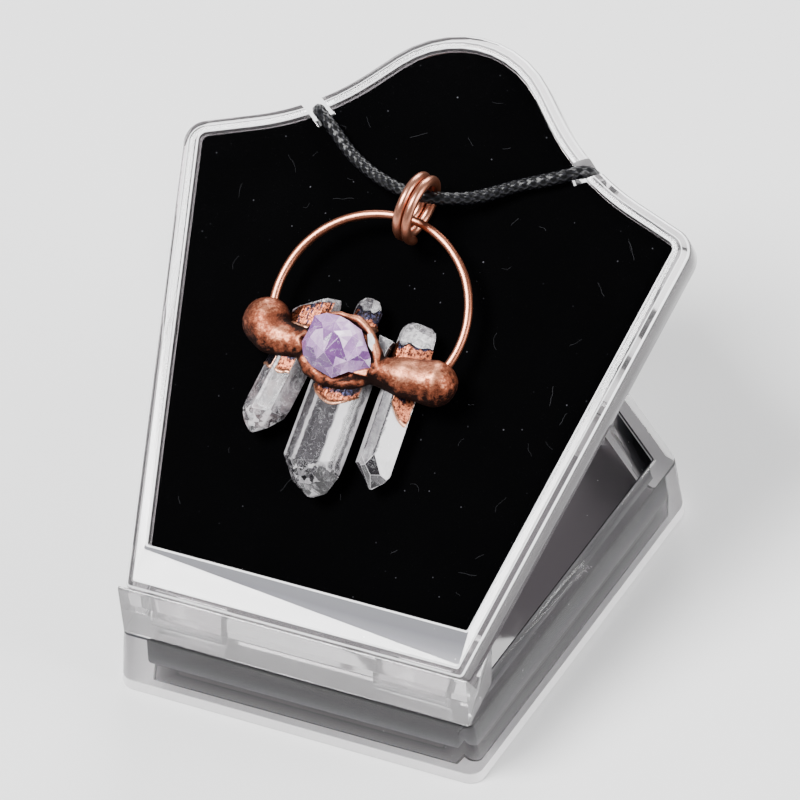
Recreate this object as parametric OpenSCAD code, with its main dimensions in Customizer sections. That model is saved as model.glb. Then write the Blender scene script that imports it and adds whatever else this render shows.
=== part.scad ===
// Crystal pendant on a waxed cord, hung on a clear folding display stand. Millimetres.
// X runs to the right, Y to the back and Z up. The origin is the middle of the base's underside.
// Panel coordinates are [u, v, h]: to the right, up the slope, and out of the rim's front face.
// Pendant coordinates are [a, b, w]: the same directions, measured from the centre of the hoop.

/* [Stand base] */
// Width of the base at its front edge
base_front_w = 57; // [54:1:60]
// Width of the base at its shoulders
base_shoulder_w = 77; // [72:1:82]
// Width of the base at its back edge
base_back_w = 47; // [40:1:50]
// Distance from the front edge to the shoulders
base_shoulder_y = 62; // [58:1:64]
// Depth of the base from front to back
base_depth = 76; // [74:1:80]
// Height of the base
base_h = 11.6; // [10:0.2:14]
// Thickness of the walls and of the floor of the tray
base_wall = 3.5; // [2.5:0.5:4]
// How much further out the base's walls stand at the bottom than at the top
base_flare = 1.4; // [0.6:0.2:2]

/* [Hinge bar] */
// Height of the bar that the panel's foot stands on
bar_h = 10; // [9:0.5:11]
// Depth of the bar where it meets the base
bar_depth = 9; // [8.5:0.5:10]
// Diameter of the two clear hinge pins
pin_d = 4; // [3:0.2:4.2]
// Length of a hinge pin
pin_len = 11.5; // [8:0.5:14]
// Distance of a pin's middle from the middle of the stand
pin_x = 18.2; // [16:0.2:20]

/* [Panel] */
// Slope of the panel above the table
panel_rise = 31; // [31:1:31]
// Thickness of the panel
panel_t = 6; // [5:0.5:6]
// Width of the panel at its foot
panel_foot_w = 54.8; // [52:0.2:56]
// Width of the panel at its shoulders
panel_shoulder_w = 84.2; // [82:0.2:86]
// Distance up the slope to the shoulder corners
panel_shoulder_v = 72.4; // [71:0.2:74]
// Distance from the middle to the corner where shoulder and neck meet
neck_u = 22.4; // [22:0.2:22.8]
// Distance up the slope to that corner
neck_v = 79.5; // [79.1:0.1:79.9]
// Where the two slopes of the neck would meet in a point
neck_peak_v = 104.4; // [103.4:0.2:105.2]
// Radius of the rounded top of the neck
neck_r = 17; // [15:0.5:18]
// Radius of the hollow curve between shoulder and neck
neck_curve = 38; // [34:1:40]
// Width of the raised rim along the sides
rim_w = 3; // [2.5:0.5:3]
// Width of the raised rim along the shoulders and round the neck
rim_top_w = 2.5; // [2:0.5:2.5]
// Bare strip between the foot and the velvet
foot_strip = 7.2; // [6:0.2:9]
// Width of the two cord notches
notch_w = 3.1; // [3:0.1:3.4]

/* [Velvet pad] */
// Thickness of the velvet pad
velvet_t = 1.2; // [0.8:0.2:1.6]
// Depth of the velvet's surface below the rim
velvet_drop = 1; // [0.8:0.2:1.2]

/* [Hoop and band] */
// Radius of the hoop along the middle of its wire
hoop_r = 15.2; // [15:0.1:15.4]
// Diameter of the hoop's wire
hoop_wire = 1.4; // [1.2:0.1:1.5]
// Distance of the hoop's centre to the right of the panel's middle
hoop_u = -2.3; // [-3:0.1:-1.5]
// Distance of the hoop's centre up the slope
hoop_v = 49.4; // [49:0.1:49.5]
// Height of the hoop's plane above the velvet
hoop_lift = 4.6; // [4.6:0.1:5]
// Radius of the round bulb at the left end of the band
bulb_r = 4.1; // [3.8:0.1:4.2]
// Radius of the band's right end
band_end_r = 3.5; // [3.2:0.1:3.8]
// Thickness of the copper cladding on the crystals
clad_t = 0.35; // [0.3:0.05:0.5]

/* [Bail] */
// Diameter of the bail's wire
bail_wire = 1.5; // [1.3:0.1:1.5]
// Radius of the bail along the middle of its wire
bail_r = 4.75; // [4.7:0.05:4.8]

/* [Cord] */
// Diameter of the cord
cord_d = 2; // [1.6:0.1:2]
// Diameter of the barrel clasp
clasp_d = 4.4; // [3.6:0.2:5]
// Length of the barrel clasp
clasp_len = 12; // [10:1:14]

/* [Hidden] */
gap = 0.1;
pin_gap = 0.15;
stone_gap = 0.06;
front_y = -base_depth / 2;
panel_y = front_y + 0.5;
panel_z = base_h + bar_h;
velvet_h = -velvet_drop;
hoop_h = velvet_h + hoop_lift;
clear = "LightCyan";
copper = "Peru";
quartz = "WhiteSmoke";

// Corners of the base: [x, distance from the front edge, rounding], seen from above
BASE_CORNERS = [
  [base_front_w / 2, 0, 1.2], [base_shoulder_w / 2, base_shoulder_y, 2.5],
  [base_back_w / 2, base_depth, 4], [-base_back_w / 2, base_depth, 4],
  [-base_shoulder_w / 2, base_shoulder_y, 2.5], [-base_front_w / 2, 0, 1.2]
];
// Corners of the panel: [u, v, rounding]
PANEL_CORNERS = [
  [panel_foot_w / 2, 0, 1], [panel_shoulder_w / 2, panel_shoulder_v, 4], [neck_u, neck_v, neck_curve],
  [0, neck_peak_v, neck_r],
  [-neck_u, neck_v, neck_curve], [-panel_shoulder_w / 2, panel_shoulder_v, 4], [-panel_foot_w / 2, 0, 1]
];
// Width of the rim along each of the panel's edges, from the right side round to the foot
RIM_WIDTHS = [rim_w, rim_top_w, rim_top_w, rim_top_w, rim_top_w, rim_w, rim_w];
// Side view of the hinge bar: [distance from the front edge, height above the base, rounding]
BAR_CORNERS = [
  [0, gap, 0.4], [bar_depth, gap, 0.3], [bar_depth + 0.8, bar_h / 2, 8], [bar_depth + 1.2, bar_h - 1, 0.3],
  [bar_depth + 1.2, bar_h, 0.3], [0, bar_h, 0.4]
];

// Crystals: [[a, b and w of the tip], length, lean, width, thickness, length of the tip,
// shift of the tip, length of the top, scale of the top, [angles of the six edges]]
QUARTZ_LEFT = [[-11.9, -22.1, -1.6], 22.6, 9.5, 6.4, 5.7, 3.4, -0.4, 3.2, 0.45, [0, 60, 112, 176, 236, 300]];
QUARTZ_CENTRE = [[-2, -29.4, -1.3], 31.6, 2.5, 9.6, 6.4, 4.8, 1.4, 9, 0.36, [2, 64, 121, 180, 242, 300]];
QUARTZ_RIGHT = [[7.8, -25.8, -1.7], 25.8, 0, 6, 5.4, 3.2, 0.6, 2.6, 0.6, [5, 84, 124, 182, 240, 300]];
// Unevenness of the six edges' ends, in parts of the tip's length
EDGE_DROP = [0.85, 1.1, 0.9, 1.15, 0.8, 1];

// Amethyst's outline, counter-clockwise: [a, b, height of the girdle, reach of the crown]
AMETHYST = [
  [4, -9.1, 3.2, 0.6], [3.2, -7.3, 3.8, 0.7], [1.3, -4.6, 3.6, 0.62], [-0.6, -3.3, 3.2, 0.7],
  [-3.3, -2.6, 3.5, 0.75], [-5.4, -2.9, 3.7, 0.8], [-7, -4.2, 3.2, 0.55], [-8, -7.3, 3.4, 0.62],
  [-6.9, -9.5, 3.8, 0.7], [-4.5, -11.2, 3.3, 0.66], [-1.6, -11.9, 3.5, 0.58], [1.1, -10.5, 3.2, 0.7]
];
AMETHYST_MIDDLE = [-2, -7.2];
AMETHYST_FOOT_W = 2.4;
AMETHYST_CROWN_W = 5.4;
AMETHYST_TOP_W = 6.2;

// Lobes of the setting round the amethyst: [a, b, w, radius]
SETTING_LOBES = [
  [-5.6, -3.9, 1.9, 1.9], [0, -3.8, 1.9, 1.8], [2.8, -6.6, 1.9, 1.8], [2, -10.2, 1.7, 1.8],
  [-1, -11.2, 1.5, 1.8], [-4.4, -10.6, 1.5, 1.9], [-6.3, -8.2, 1.7, 1.7], [-2, -7, -1.5, 2.4]
];
// Cladding: [crystal, where it starts and ends along the crystal]
CLADDING = [
  [QUARTZ_LEFT, 9.6, 16.5], [QUARTZ_LEFT, 17, 20.6], [QUARTZ_CENTRE, 14.4, 18.5],
  [QUARTZ_RIGHT, 11, 15.5], [QUARTZ_RIGHT, 19, 22.6]
];
// The band: [a, b, w, radius] of the bulb, of the neck's two ends and of the right part's two ends
BULB = [-14.5, -5.8, -0.2, bulb_r];
NECK = [[-12.6, -6.6, 1, 2.4], [-7.4, -7, 1.6, 2]];
BAND_RIGHT = [[4.6, -8.6, 1.5, 2.3], [8.6, -8.7, 1.1, 2.9], [13.1, -8.4, 0.5, band_end_r]];
// The hoop's wire, in degrees counter-clockwise from +a
HOOP_ENDS = [-27, 197];

// The bail stands across the panel, a little turned. Its place is [u, v, h] of its centre.
BAIL_AT = [0, 66.25, 4.75];
BAIL_TURN = [0, 0, -12];
BAIL_PITCH = bail_wire + 0.05;
BAIL_STEPS = 32;
BAIL_START = -60;

// The cord's notches: the middle of the right one's floor on the panel, and the way it points
NOTCH_AT = [19.9, 77.8];
NOTCH_ANGLE = 35;
// The cord turns down over the notch's floor in an arc, whose centre is this far in and this high
EDGE_BEND_R = 4.5;
EDGE_BEND_IN = 1.1;
EDGE_BEND_H = -4.2;
EDGE_ANGLES = [0, 20, 60, 105];

// The cord's route over the panel from notch to notch, in panel coordinates
CORD_FRONT = [
  [-14, 73.2, 0.6], [-8.5, 70.3, 2], [0, 68.3, 4.2], [7.4, 70.5, 2], [13, 74.2, 0.6]
];
// Behind the stand it is [x, y, z]: down from each notch and once round on the table to the clasp
CLASP_AT = [-30.5, 106, 2.3];
CORD_LEFT = [
  [-38.2, 106, 2.3], [-42.2, 103.2, 1.6], [-51.6, 88.4, 1.1], [-59.8, 82.8, 1.1], [-64.2, 75.4, 1.1],
  [-62.4, 66.6, 1.1], [-53.4, 40.8, 1.1], [-46.6, 34.8, 1.2], [-34, 45.4, 1.3], [-29.8, 46.6, 1.9],
  [-26.2, 45, 6], [-22, 35, 50]
];
CORD_RIGHT = [
  [21.8, 35, 50], [17.2, 45.4, 6.6], [14.6, 49.6, 1.9], [11.2, 53.4, 1.3], [-1.4, 63.2, 1.1],
  [-1, 69.6, 1.1], [10, 73.4, 1.1], [13.6, 76.4, 1.1], [13, 80.4, 1.1], [7.4, 83.4, 1.1],
  [-8.6, 93, 1.1], [-18.2, 103.8, 1.5], [-22.8, 106, 2.3]
];
CORD_SIDES = 8;
CORD_STEP = 8;

// Directions and angles
function unit(v) = v / norm(v);
function half_angle(a, b, c) = acos(unit(a - b) * unit(c - b)) / 2;
function turn(from, to) = let (d = to - from) d > 180 ? d - 360 : d < -180 ? d + 360 : d;
function xy(p) = [p[0], p[1]];

// Points of the rounded corner b between a and c
function fillet(a, b, c, r) =
  let (
    half = half_angle(a, b, c),
    middle = b + unit(unit(a - b) + unit(c - b)) * r / sin(half),
    first = b + unit(a - b) * r / tan(half) - middle,
    last = b + unit(c - b) * r / tan(half) - middle,
    start = atan2(first[1], first[0]),
    sweep = turn(start, atan2(last[1], last[0])),
    steps = max(2, ceil(abs(sweep) / 6))
  )
  [for (i = [0:steps]) middle + r * [cos(start + sweep * i / steps), sin(start + sweep * i / steps)]];

// Outline through rounded corners
function outline(corners) =
  let (n = len(corners))
  [for (i = [0:n - 1])
    each fillet(xy(corners[(i + n - 1) % n]), xy(corners[i]), xy(corners[(i + 1) % n]), corners[i][2])];

// The corners once each edge has moved inwards by its own width
function inset(corners, widths) =
  let (n = len(corners))
  [for (i = [0:n - 1])
    let (
      b = xy(corners[i]),
      before = unit(b - xy(corners[(i + n - 1) % n])),
      after = unit(xy(corners[(i + 1) % n]) - b),
      in_before = widths[(i + n - 1) % n],
      in_after = widths[i],
      bend = cross(before, after),
      moved = b + (in_before * after - in_after * before) / bend
    )
    [moved[0], moved[1], max(corners[i][2] - sign(bend) * (in_before + in_after) / 2, 0.4)]];
function inset_evenly(corners, d) = inset(corners, [for (corner = corners) d]);

// From panel coordinates to the part's own
function on_panel(p) = [
  p[0],
  panel_y + p[1] * cos(panel_rise) - p[2] * sin(panel_rise),
  panel_z + p[1] * sin(panel_rise) + p[2] * cos(panel_rise)
];

// Solid through a list of rings that all have the same number of points, counter-clockwise
module loft(rings) {
  n = len(rings[0]);
  last = (len(rings) - 1) * n;
  sides = [for (j = [0:len(rings) - 2]) for (i = [0:n - 1])
    let (a = j * n + i, b = j * n + (i + 1) % n) each [[a, b + n, b], [a, a + n, b + n]]];
  ends = [[for (i = [0:n - 1]) i], [for (i = [0:n - 1]) last + n - 1 - i]];
  polyhedron(points = [for (ring = rings) each ring], faces = concat(ends, sides));
}

// Smooth curve through the points, with a new point at least every step
function along(points, i) =
  let (
    before = i > 0 ? points[i] - points[i - 1] : points[1] - points[0],
    after = i < len(points) - 1 ? points[i + 1] - points[i] : before,
    a = norm(before),
    b = norm(after)
  )
  (before * b / a + after * a / b) / (a + b);
function between(p, q, from, to, t) =
  let (d = norm(q - p), t2 = t * t, t3 = t * t * t)
  p * (2 * t3 - 3 * t2 + 1) + q * (3 * t2 - 2 * t3) + d * (from * (t3 - 2 * t2 + t) + to * (t3 - t2));
function smooth(points, step) =
  concat(
    [for (i = [0:len(points) - 2])
      let (count = ceil(norm(points[i + 1] - points[i]) / step))
      for (k = [0:count - 1])
        between(points[i], points[i + 1], along(points, i), along(points, i + 1), k / count)],
    [points[len(points) - 1]]
  );

// Rings square to a path, each turned as little as possible from the one before
function tangent(path, i) = unit(path[min(i + 1, len(path) - 1)] - path[max(i - 1, 0)]);
function normals(path, i = 0, n = [0, 0, 1]) =
  i == len(path) ? [] :
  let (t = tangent(path, i), m = unit(n - (n * t) * t)) concat([m], normals(path, i + 1, m));
function tube_rings(path, r, sides) =
  let (ns = normals(path))
  [for (i = [0:len(path) - 1])
    let (t = tangent(path, i), n = ns[i], b = cross(t, n))
    [for (k = [0:sides - 1]) path[i] + r * (cos(360 * k / sides) * n + sin(360 * k / sides) * b)]];

module at_panel() {
  translate([0, panel_y, panel_z]) rotate([panel_rise, 0, 0]) children();
}

module at_pendant() {
  at_panel() translate([hoop_u, hoop_v, hoop_h]) children();
}

// The stand
function base_ring(inside, z) =
  [for (p = outline(inset_evenly(BASE_CORNERS, inside))) [p[0], front_y + p[1], z]];

module base_tray() {
  color(clear) difference() {
    loft([base_ring(-base_flare, 0), base_ring(0, base_h)]);
    loft([base_ring(base_wall, base_wall), base_ring(base_wall, base_h + 1)]);
  }
}

module pin(side, d, length) {
  translate([side * pin_x, front_y + 5.3, base_h + 2.7]) rotate([0, 90, 0])
    cylinder(d = d, h = length, center = true, $fn = 32);
}

module hinge_bar() {
  color(clear) difference() {
    translate([0, front_y, base_h]) rotate([90, 0, 90])
      linear_extrude(base_front_w - 0.6, center = true) polygon(outline(BAR_CORNERS));
    at_panel() translate([-base_front_w, -gap, -panel_t - gap]) cube([2 * base_front_w, 60, 30]);
    for (side = [-1, 1]) pin(side, pin_d + 2 * pin_gap, pin_len + 2 * pin_gap);
  }
}

module hinge_pin_left() {
  color(clear) pin(-1, pin_d, pin_len);
}

module hinge_pin_right() {
  color(clear) pin(1, pin_d, pin_len);
}

// Everything inside the rim, between two heights over the panel's face
module velvet_space(inside, low, high) {
  intersection() {
    translate([0, 0, low]) linear_extrude(high - low)
      polygon(outline(inset(PANEL_CORNERS, [for (w = RIM_WIDTHS) w + inside])));
    translate([-60, foot_strip + inside, low - 1]) cube([120, 120, high - low + 2]);
  }
}

module notches(inside = 0) {
  for (side = [0, 1]) mirror([side, 0, 0])
    translate(NOTCH_AT) rotate(NOTCH_ANGLE)
      translate([-inside, -notch_w / 2 - inside, -panel_t - 1])
        cube([12, notch_w + 2 * inside, panel_t + 2]);
}

module panel() {
  color(clear) at_panel() difference() {
    translate([0, 0, -panel_t]) linear_extrude(panel_t) polygon(outline(PANEL_CORNERS));
    velvet_space(0, velvet_h - velvet_t - gap, 1);
    notches();
  }
}

module velvet_pad() {
  color("Black") at_panel() difference() {
    velvet_space(gap, velvet_h - velvet_t, velvet_h);
    notches(gap);
  }
}

// The necklace. Over the edge, side is -1 on the left and 1 on the right.
function over_edge(side, angles) = [
  for (a = angles)
    let (out = EDGE_BEND_R * sin(a) - EDGE_BEND_IN)
    [
      side * (NOTCH_AT[0] + out * cos(NOTCH_ANGLE)),
      NOTCH_AT[1] + out * sin(NOTCH_ANGLE),
      EDGE_BEND_H + EDGE_BEND_R * cos(a)
    ]
];

module cord() {
  left_edge = over_edge(-1, [for (i = [len(EDGE_ANGLES) - 1:-1:0]) EDGE_ANGLES[i]]);
  front = [for (p = concat(left_edge, CORD_FRONT, over_edge(1, EDGE_ANGLES))) on_panel(p)];
  clasp_end = [clasp_len / 2, 0, 0];
  route = concat([CLASP_AT - clasp_end], CORD_LEFT, front, CORD_RIGHT, [CLASP_AT + clasp_end]);
  color("DimGray") loft(tube_rings(smooth(route, CORD_STEP), cord_d / 2, CORD_SIDES));
}

module clasp() {
  color(copper) translate(CLASP_AT) rotate([0, 90, 0])
    cylinder(d = clasp_d, h = clasp_len, center = true, $fn = 32);
}

module bail() {
  turns = 2;
  path = [for (i = [0:turns * BAIL_STEPS])
    let (angle = BAIL_START + 360 * i / BAIL_STEPS)
    [BAIL_PITCH * (i / BAIL_STEPS - turns / 2), bail_r * sin(angle), -bail_r * cos(angle)]];
  color(copper) at_panel() translate(BAIL_AT) rotate(BAIL_TURN) loft(tube_rings(path, bail_wire / 2, 10));
}

// One ring of a crystal: its section scaled, each edge's end at its own height
function crystal_ring(c, at, scale, drop, shift, grow) =
  let (tip = c[0], lean = c[2], half_w = c[3] / 2 + grow, half_t = c[4] / 2 + grow, angles = c[9])
  [for (k = [5:-1:0])
    let (
      across = half_w * scale * cos(angles[k]) + shift,
      depth = half_t * scale * sin(angles[k]),
      up = at + drop * EDGE_DROP[k]
    )
    tip + [across * cos(lean) + up * sin(lean), up * cos(lean) - across * sin(lean), depth]
  ];

// A crystal, made larger all round by grow
module crystal(c, grow = 0) {
  length = c[1];
  tip_length = c[5];
  tip_shift = c[6];
  top_length = c[7];
  top_scale = c[8];
  loft([
    crystal_ring(c, -grow, 0.08, 0, tip_shift, 0),
    crystal_ring(c, 0, 1, tip_length, 0, grow),
    crystal_ring(c, length - 2 * top_length, 1, top_length, 0, grow),
    crystal_ring(c, length + grow, top_scale, 0, 0, grow)
  ]);
}

module clad(c, from, to) {
  loft([crystal_ring(c, from, 1, 0, 0, clad_t), crystal_ring(c, to, 1, 0, 0, clad_t)]);
}

function amethyst_ring(scale, w, grow) = [
  for (row = AMETHYST)
    let (p = AMETHYST_MIDDLE + (xy(row) - AMETHYST_MIDDLE) * (scale + grow / 5)) [p[0], p[1], w]
];

module amethyst_stone(grow = 0) {
  girdle = amethyst_ring(1, 0, grow);
  crown = [for (row = AMETHYST) AMETHYST_MIDDLE + (xy(row) - AMETHYST_MIDDLE) * row[3]];
  loft([
    amethyst_ring(0.75, AMETHYST_FOOT_W - grow, grow),
    [for (i = [0:len(AMETHYST) - 1]) [girdle[i][0], girdle[i][1], AMETHYST[i][2]]],
    [for (p = crown) [p[0], p[1], AMETHYST_CROWN_W]],
    amethyst_ring(0.2, AMETHYST_TOP_W, 0)
  ]);
}

module lobe(row) {
  translate([row[0], row[1], row[2]]) sphere(r = row[3], $fn = 32);
}

module hoop() {
  rotate(HOOP_ENDS[0]) rotate_extrude(angle = HOOP_ENDS[1] - HOOP_ENDS[0], $fn = 96)
    translate([hoop_r, 0]) circle(d = hoop_wire, $fn = 24);
}

module copper_frame() {
  color(copper) at_pendant() difference() {
    union() {
      hoop();
      lobe(BULB);
      hull() for (row = NECK) lobe(row);
      hull() for (row = [BAND_RIGHT[0], BAND_RIGHT[1]]) lobe(row);
      hull() for (row = [BAND_RIGHT[1], BAND_RIGHT[2]]) lobe(row);
      hull() for (row = SETTING_LOBES) lobe(row);
      for (row = CLADDING) clad(row[0], row[1], row[2]);
    }
    for (c = [QUARTZ_LEFT, QUARTZ_CENTRE, QUARTZ_RIGHT]) crystal(c, stone_gap);
    amethyst_stone(stone_gap);
  }
}

module amethyst() {
  color("Plum") at_pendant() amethyst_stone();
}

module quartz_left() {
  color(quartz) at_pendant() crystal(QUARTZ_LEFT);
}

module quartz_centre() {
  color(quartz) at_pendant() crystal(QUARTZ_CENTRE);
}

module quartz_right() {
  color(quartz) at_pendant() crystal(QUARTZ_RIGHT);
}

base_tray();
hinge_bar();
hinge_pin_left();
hinge_pin_right();
panel();
velvet_pad();
cord();
clasp();
bail();
copper_frame();
amethyst();
quartz_left();
quartz_centre();
quartz_right();
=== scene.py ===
"""Crystal pendant on a waxed cord, hung on a clear display stand with a velvet face."""
import math
from types import SimpleNamespace

import bmesh
import bpy
import numpy as np
from mathutils import Matrix, Vector
from mathutils.geometry import delaunay_2d_cdt


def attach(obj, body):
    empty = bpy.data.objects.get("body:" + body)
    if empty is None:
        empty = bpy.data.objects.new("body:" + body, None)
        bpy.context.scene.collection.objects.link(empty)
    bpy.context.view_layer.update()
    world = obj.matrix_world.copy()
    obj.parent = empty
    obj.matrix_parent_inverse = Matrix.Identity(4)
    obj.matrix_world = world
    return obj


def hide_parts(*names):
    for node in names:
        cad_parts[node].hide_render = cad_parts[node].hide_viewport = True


MM = 0.001
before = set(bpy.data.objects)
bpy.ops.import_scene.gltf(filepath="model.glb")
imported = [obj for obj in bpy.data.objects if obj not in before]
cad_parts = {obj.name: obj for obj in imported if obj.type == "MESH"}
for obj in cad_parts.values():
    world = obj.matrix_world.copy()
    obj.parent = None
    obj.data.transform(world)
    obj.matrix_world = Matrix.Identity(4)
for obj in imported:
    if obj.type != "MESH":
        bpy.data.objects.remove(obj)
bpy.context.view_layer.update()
scene = bpy.context.scene

# The photo's camera: its azimuth, elevation and roll, its place in mm and its focal length in pixels
AZ, EL, ROLL = (math.radians(x) for x in (25.6, 45.0, -4.5))
EYE = Vector((200.1, -411.5, 492.1)) * MM
FOCAL_PX, PHOTO_PX, SENSOR_MM = 4266, 800, 36
NEAREST, FARTHEST = 0.01, 20


def make_camera():
    data = bpy.data.cameras.new("camera")
    data.sensor_width = SENSOR_MM
    data.lens = FOCAL_PX / PHOTO_PX * SENSOR_MM
    data.clip_start, data.clip_end = NEAREST, FARTHEST
    cam = bpy.data.objects.new("camera", data)
    tilt = Matrix.Rotation(math.pi / 2 - EL, 4, "X") @ Matrix.Rotation(ROLL, 4, "Z")
    cam.matrix_world = Matrix.Translation(EYE) @ Matrix.Rotation(AZ, 4, "Z") @ tilt
    scene.collection.objects.link(cam)
    scene.camera = cam


# Places, in mm: the panel leans back from its lower front edge, and the hoop's middle is given on its face
RISE = math.radians(31)
PANEL_Y, PANEL_Z = -37.5, 21.6
HOOP = np.array([-2.3, 49.4, 3.6])
PANEL_NORMAL = np.array([0, -math.sin(RISE), math.cos(RISE)])
UP_SLOPE = np.array([0, math.cos(RISE), math.sin(RISE)])


def on_panel(p):
    """Panel coordinates [u, v, h], in mm, to the part's own."""
    p = np.asarray(p, float)
    u, v, h = p[..., 0], p[..., 1], p[..., 2]
    c, s = math.cos(RISE), math.sin(RISE)
    return np.stack([u, PANEL_Y + v * c - h * s, PANEL_Z + v * s + h * c], -1)


def at_pendant(p):
    """Pendant coordinates [a, b, w], in mm from the hoop's middle, to the part's own."""
    return on_panel(np.asarray(p, float) + HOOP)


def link(name, verts, faces, mat, body, smooth=True):
    """A mesh piece from points in mm."""
    mesh = bpy.data.meshes.new(name)
    mesh.from_pydata((np.asarray(verts) * MM).tolist(), [], [tuple(f) for f in faces])
    mesh.validate()
    mesh.update()
    for face in mesh.polygons:
        face.use_smooth = smooth
    mesh.materials.append(mat)
    obj = bpy.data.objects.new(name, mesh)
    scene.collection.objects.link(obj)
    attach(obj, body)
    return obj


def grid_faces(rows, cols, closed=True):
    """Quads of a grid of points, row after row."""
    j, i = np.meshgrid(np.arange(rows - 1), np.arange(cols if closed else cols - 1), indexing="ij")
    beside = (i + 1) % cols
    here, above = j * cols, (j + 1) * cols
    return np.stack([here + i, here + beside, above + beside, above + i], -1).reshape(-1, 4)


def solid_faces(rows, cols):
    """Quads of a grid of points that is closed round, and its first and last row as end faces."""
    ends = [list(range(cols))[::-1], [(rows - 1) * cols + i for i in range(cols)]]
    return [list(f) for f in grid_faces(rows, cols)] + ends


def set_attribute(obj, name, values, domain="POINT"):
    """Stores a number, or a row of three, for each point or face."""
    values = np.asarray(values, np.float32)
    kind, key = ("FLOAT", "value") if values.ndim == 1 else ("FLOAT_VECTOR", "vector")
    obj.data.attributes.new(name, kind, domain).data.foreach_set(key, values.ravel())


class Nodes:
    """Short names for building a material's node tree."""

    def __init__(self, name):
        self.mat = bpy.data.materials.new(name)
        self.mat.use_nodes = True
        self.tree = self.mat.node_tree
        self.bsdf = self.tree.nodes["Principled BSDF"]

    def add(self, kind, inputs=None, **props):
        node = self.tree.nodes.new(kind)
        for key, value in props.items():
            setattr(node, key, value)
        for key, value in (inputs or {}).items():
            self.put(node.inputs[key], value)
        return node

    def put(self, socket, value):
        if isinstance(value, bpy.types.NodeSocket):
            self.tree.links.new(value, socket)
        else:
            socket.default_value = value

    def set(self, **inputs):
        for key, value in inputs.items():
            self.put(self.bsdf.inputs[key.replace("_", " ")], value)

    def coords(self):
        return self.add("ShaderNodeTexCoord").outputs["Object"]

    def attribute(self, name, output="Fac"):
        return self.add("ShaderNodeAttribute", attribute_name=name).outputs[output]

    def noise(self, scale, detail=3.0, roughness=0.55, vector=None, distortion=0.0):
        return self.add("ShaderNodeTexNoise", {
            "Vector": vector or self.coords(), "Scale": scale, "Detail": detail,
            "Roughness": roughness, "Distortion": distortion}).outputs["Fac"]

    def cells(self, scale, vector=None):
        """Irregular cells: the distance from each one's middle, and three random numbers of its own."""
        node = self.add("ShaderNodeTexVoronoi", {
            "Vector": vector or self.coords(), "Scale": scale, "Randomness": 1.0})
        own = self.add("ShaderNodeSeparateColor", {"Color": node.outputs["Color"]})
        return node.outputs["Distance"], own.outputs

    def dots(self, scale, size, chosen, most=1.0, number=0):
        """Round dots in a few cells: size and chosen give where their edge and their choice begin and end."""
        distance, own = self.cells(scale)
        near = self.fall(distance, *size)
        return self.times(near, self.ramp(own[number], (chosen[0], 0.0), (chosen[1], most)))

    def ramp(self, fac, *stops):
        node = self.add("ShaderNodeValToRGB", {"Fac": fac})
        ramp = node.color_ramp
        while len(ramp.elements) < len(stops):
            ramp.elements.new(0.5)
        for element, (at, colour) in zip(ramp.elements, stops):
            element.position = at
            element.color = (*colour, 1) if isinstance(colour, tuple) else (colour, colour, colour, 1)
        return node.outputs["Color"]

    def rise(self, value, start, end):
        """0 up to start, and evenly up to 1 at the end."""
        return self.ramp(value, (start, 0.0), (end, 1.0))

    def fall(self, value, start, end):
        """1 up to start, and evenly down to 0 at the end."""
        return self.ramp(value, (start, 1.0), (end, 0.0))

    def along(self, value, span, stops, start=0.0):
        """A ramp whose stops are in the value's own unit, over a span from start on."""
        part = self.math("DIVIDE", self.minus(value, start), span)
        return self.ramp(part, *[((at - start) / span, shade) for at, shade in stops])

    def math(self, op, a, b=0.0, clamp=False):
        node = self.add("ShaderNodeMath", operation=op, use_clamp=clamp)
        self.put(node.inputs[0], a)
        self.put(node.inputs[1], b)
        return node.outputs[0]

    def plus(self, a, b):
        return self.math("ADD", a, b)

    def minus(self, a, b, clamp=False):
        return self.math("SUBTRACT", a, b, clamp)

    def times(self, a, b, clamp=False):
        return self.math("MULTIPLY", a, b, clamp)

    def centred(self, value):
        """The same pattern around 0 instead of 0.5."""
        return self.minus(value, 0.5)

    def mix(self, fac, a, b):
        node = self.add("ShaderNodeMix", data_type="RGBA")
        self.put(node.inputs[0], fac)
        for socket, value in ((node.inputs[6], a), (node.inputs[7], b)):
            self.put(socket, (*value, 1) if isinstance(value, tuple) and len(value) == 3 else value)
        return node.outputs[2]

    def bump(self, height, strength, distance):
        node = self.add("ShaderNodeBump", {"Height": height, "Strength": strength, "Distance": distance})
        return node.outputs["Normal"]


CLEAR_TINT = (0.97, 0.94, 0.952)
BAND_SPAN = 12.0


def acrylic(name, tint=CLEAR_TINT, haze=0.05, bands=(), gloss=1.0, wave=1.3):
    """Clear acrylic; bands give [place in mm, tint, haze] along the attribute level, with a wavy course, for
    painted light and shade.
    """
    n = Nodes(name)
    marks = n.rise(n.noise(900, 6, 0.7, distortion=1.5), 0.56, 0.72)
    scuffs = n.rise(n.noise(160, 4, 0.6), 0.45, 0.75)
    rough = n.plus(n.times(marks, 0.05), n.times(scuffs, 0.05))
    colour, cloudy = (*tint, 1), haze
    if bands:
        level = n.plus(n.attribute("level"), n.times(n.centred(n.noise(38, 3, 0.6)), wave))
        colour = n.along(level, BAND_SPAN, [(at, shade) for at, shade, _ in bands])
        cloudy = n.along(level, BAND_SPAN, [(at, much) for at, _, much in bands])
    speck = n.dots(900.0, (0.04, 0.12), (0.94, 0.95), most=0.8)
    clear = n.minus(n.minus(1.0, cloudy), n.plus(n.times(marks, 0.04), speck), clamp=True)
    n.set(Base_Color=n.mix(speck, colour, (0.8, 0.8, 0.82)), Transmission_Weight=clear, IOR=1.49,
          Roughness=n.plus(rough, 0.015), Normal=n.bump(n.noise(45, 2), 0.05, 0.0004),
          Specular_IOR_Level=0.5 * gloss, Specular_Tint=(gloss, gloss, gloss, 1))
    return n.mat


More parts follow.
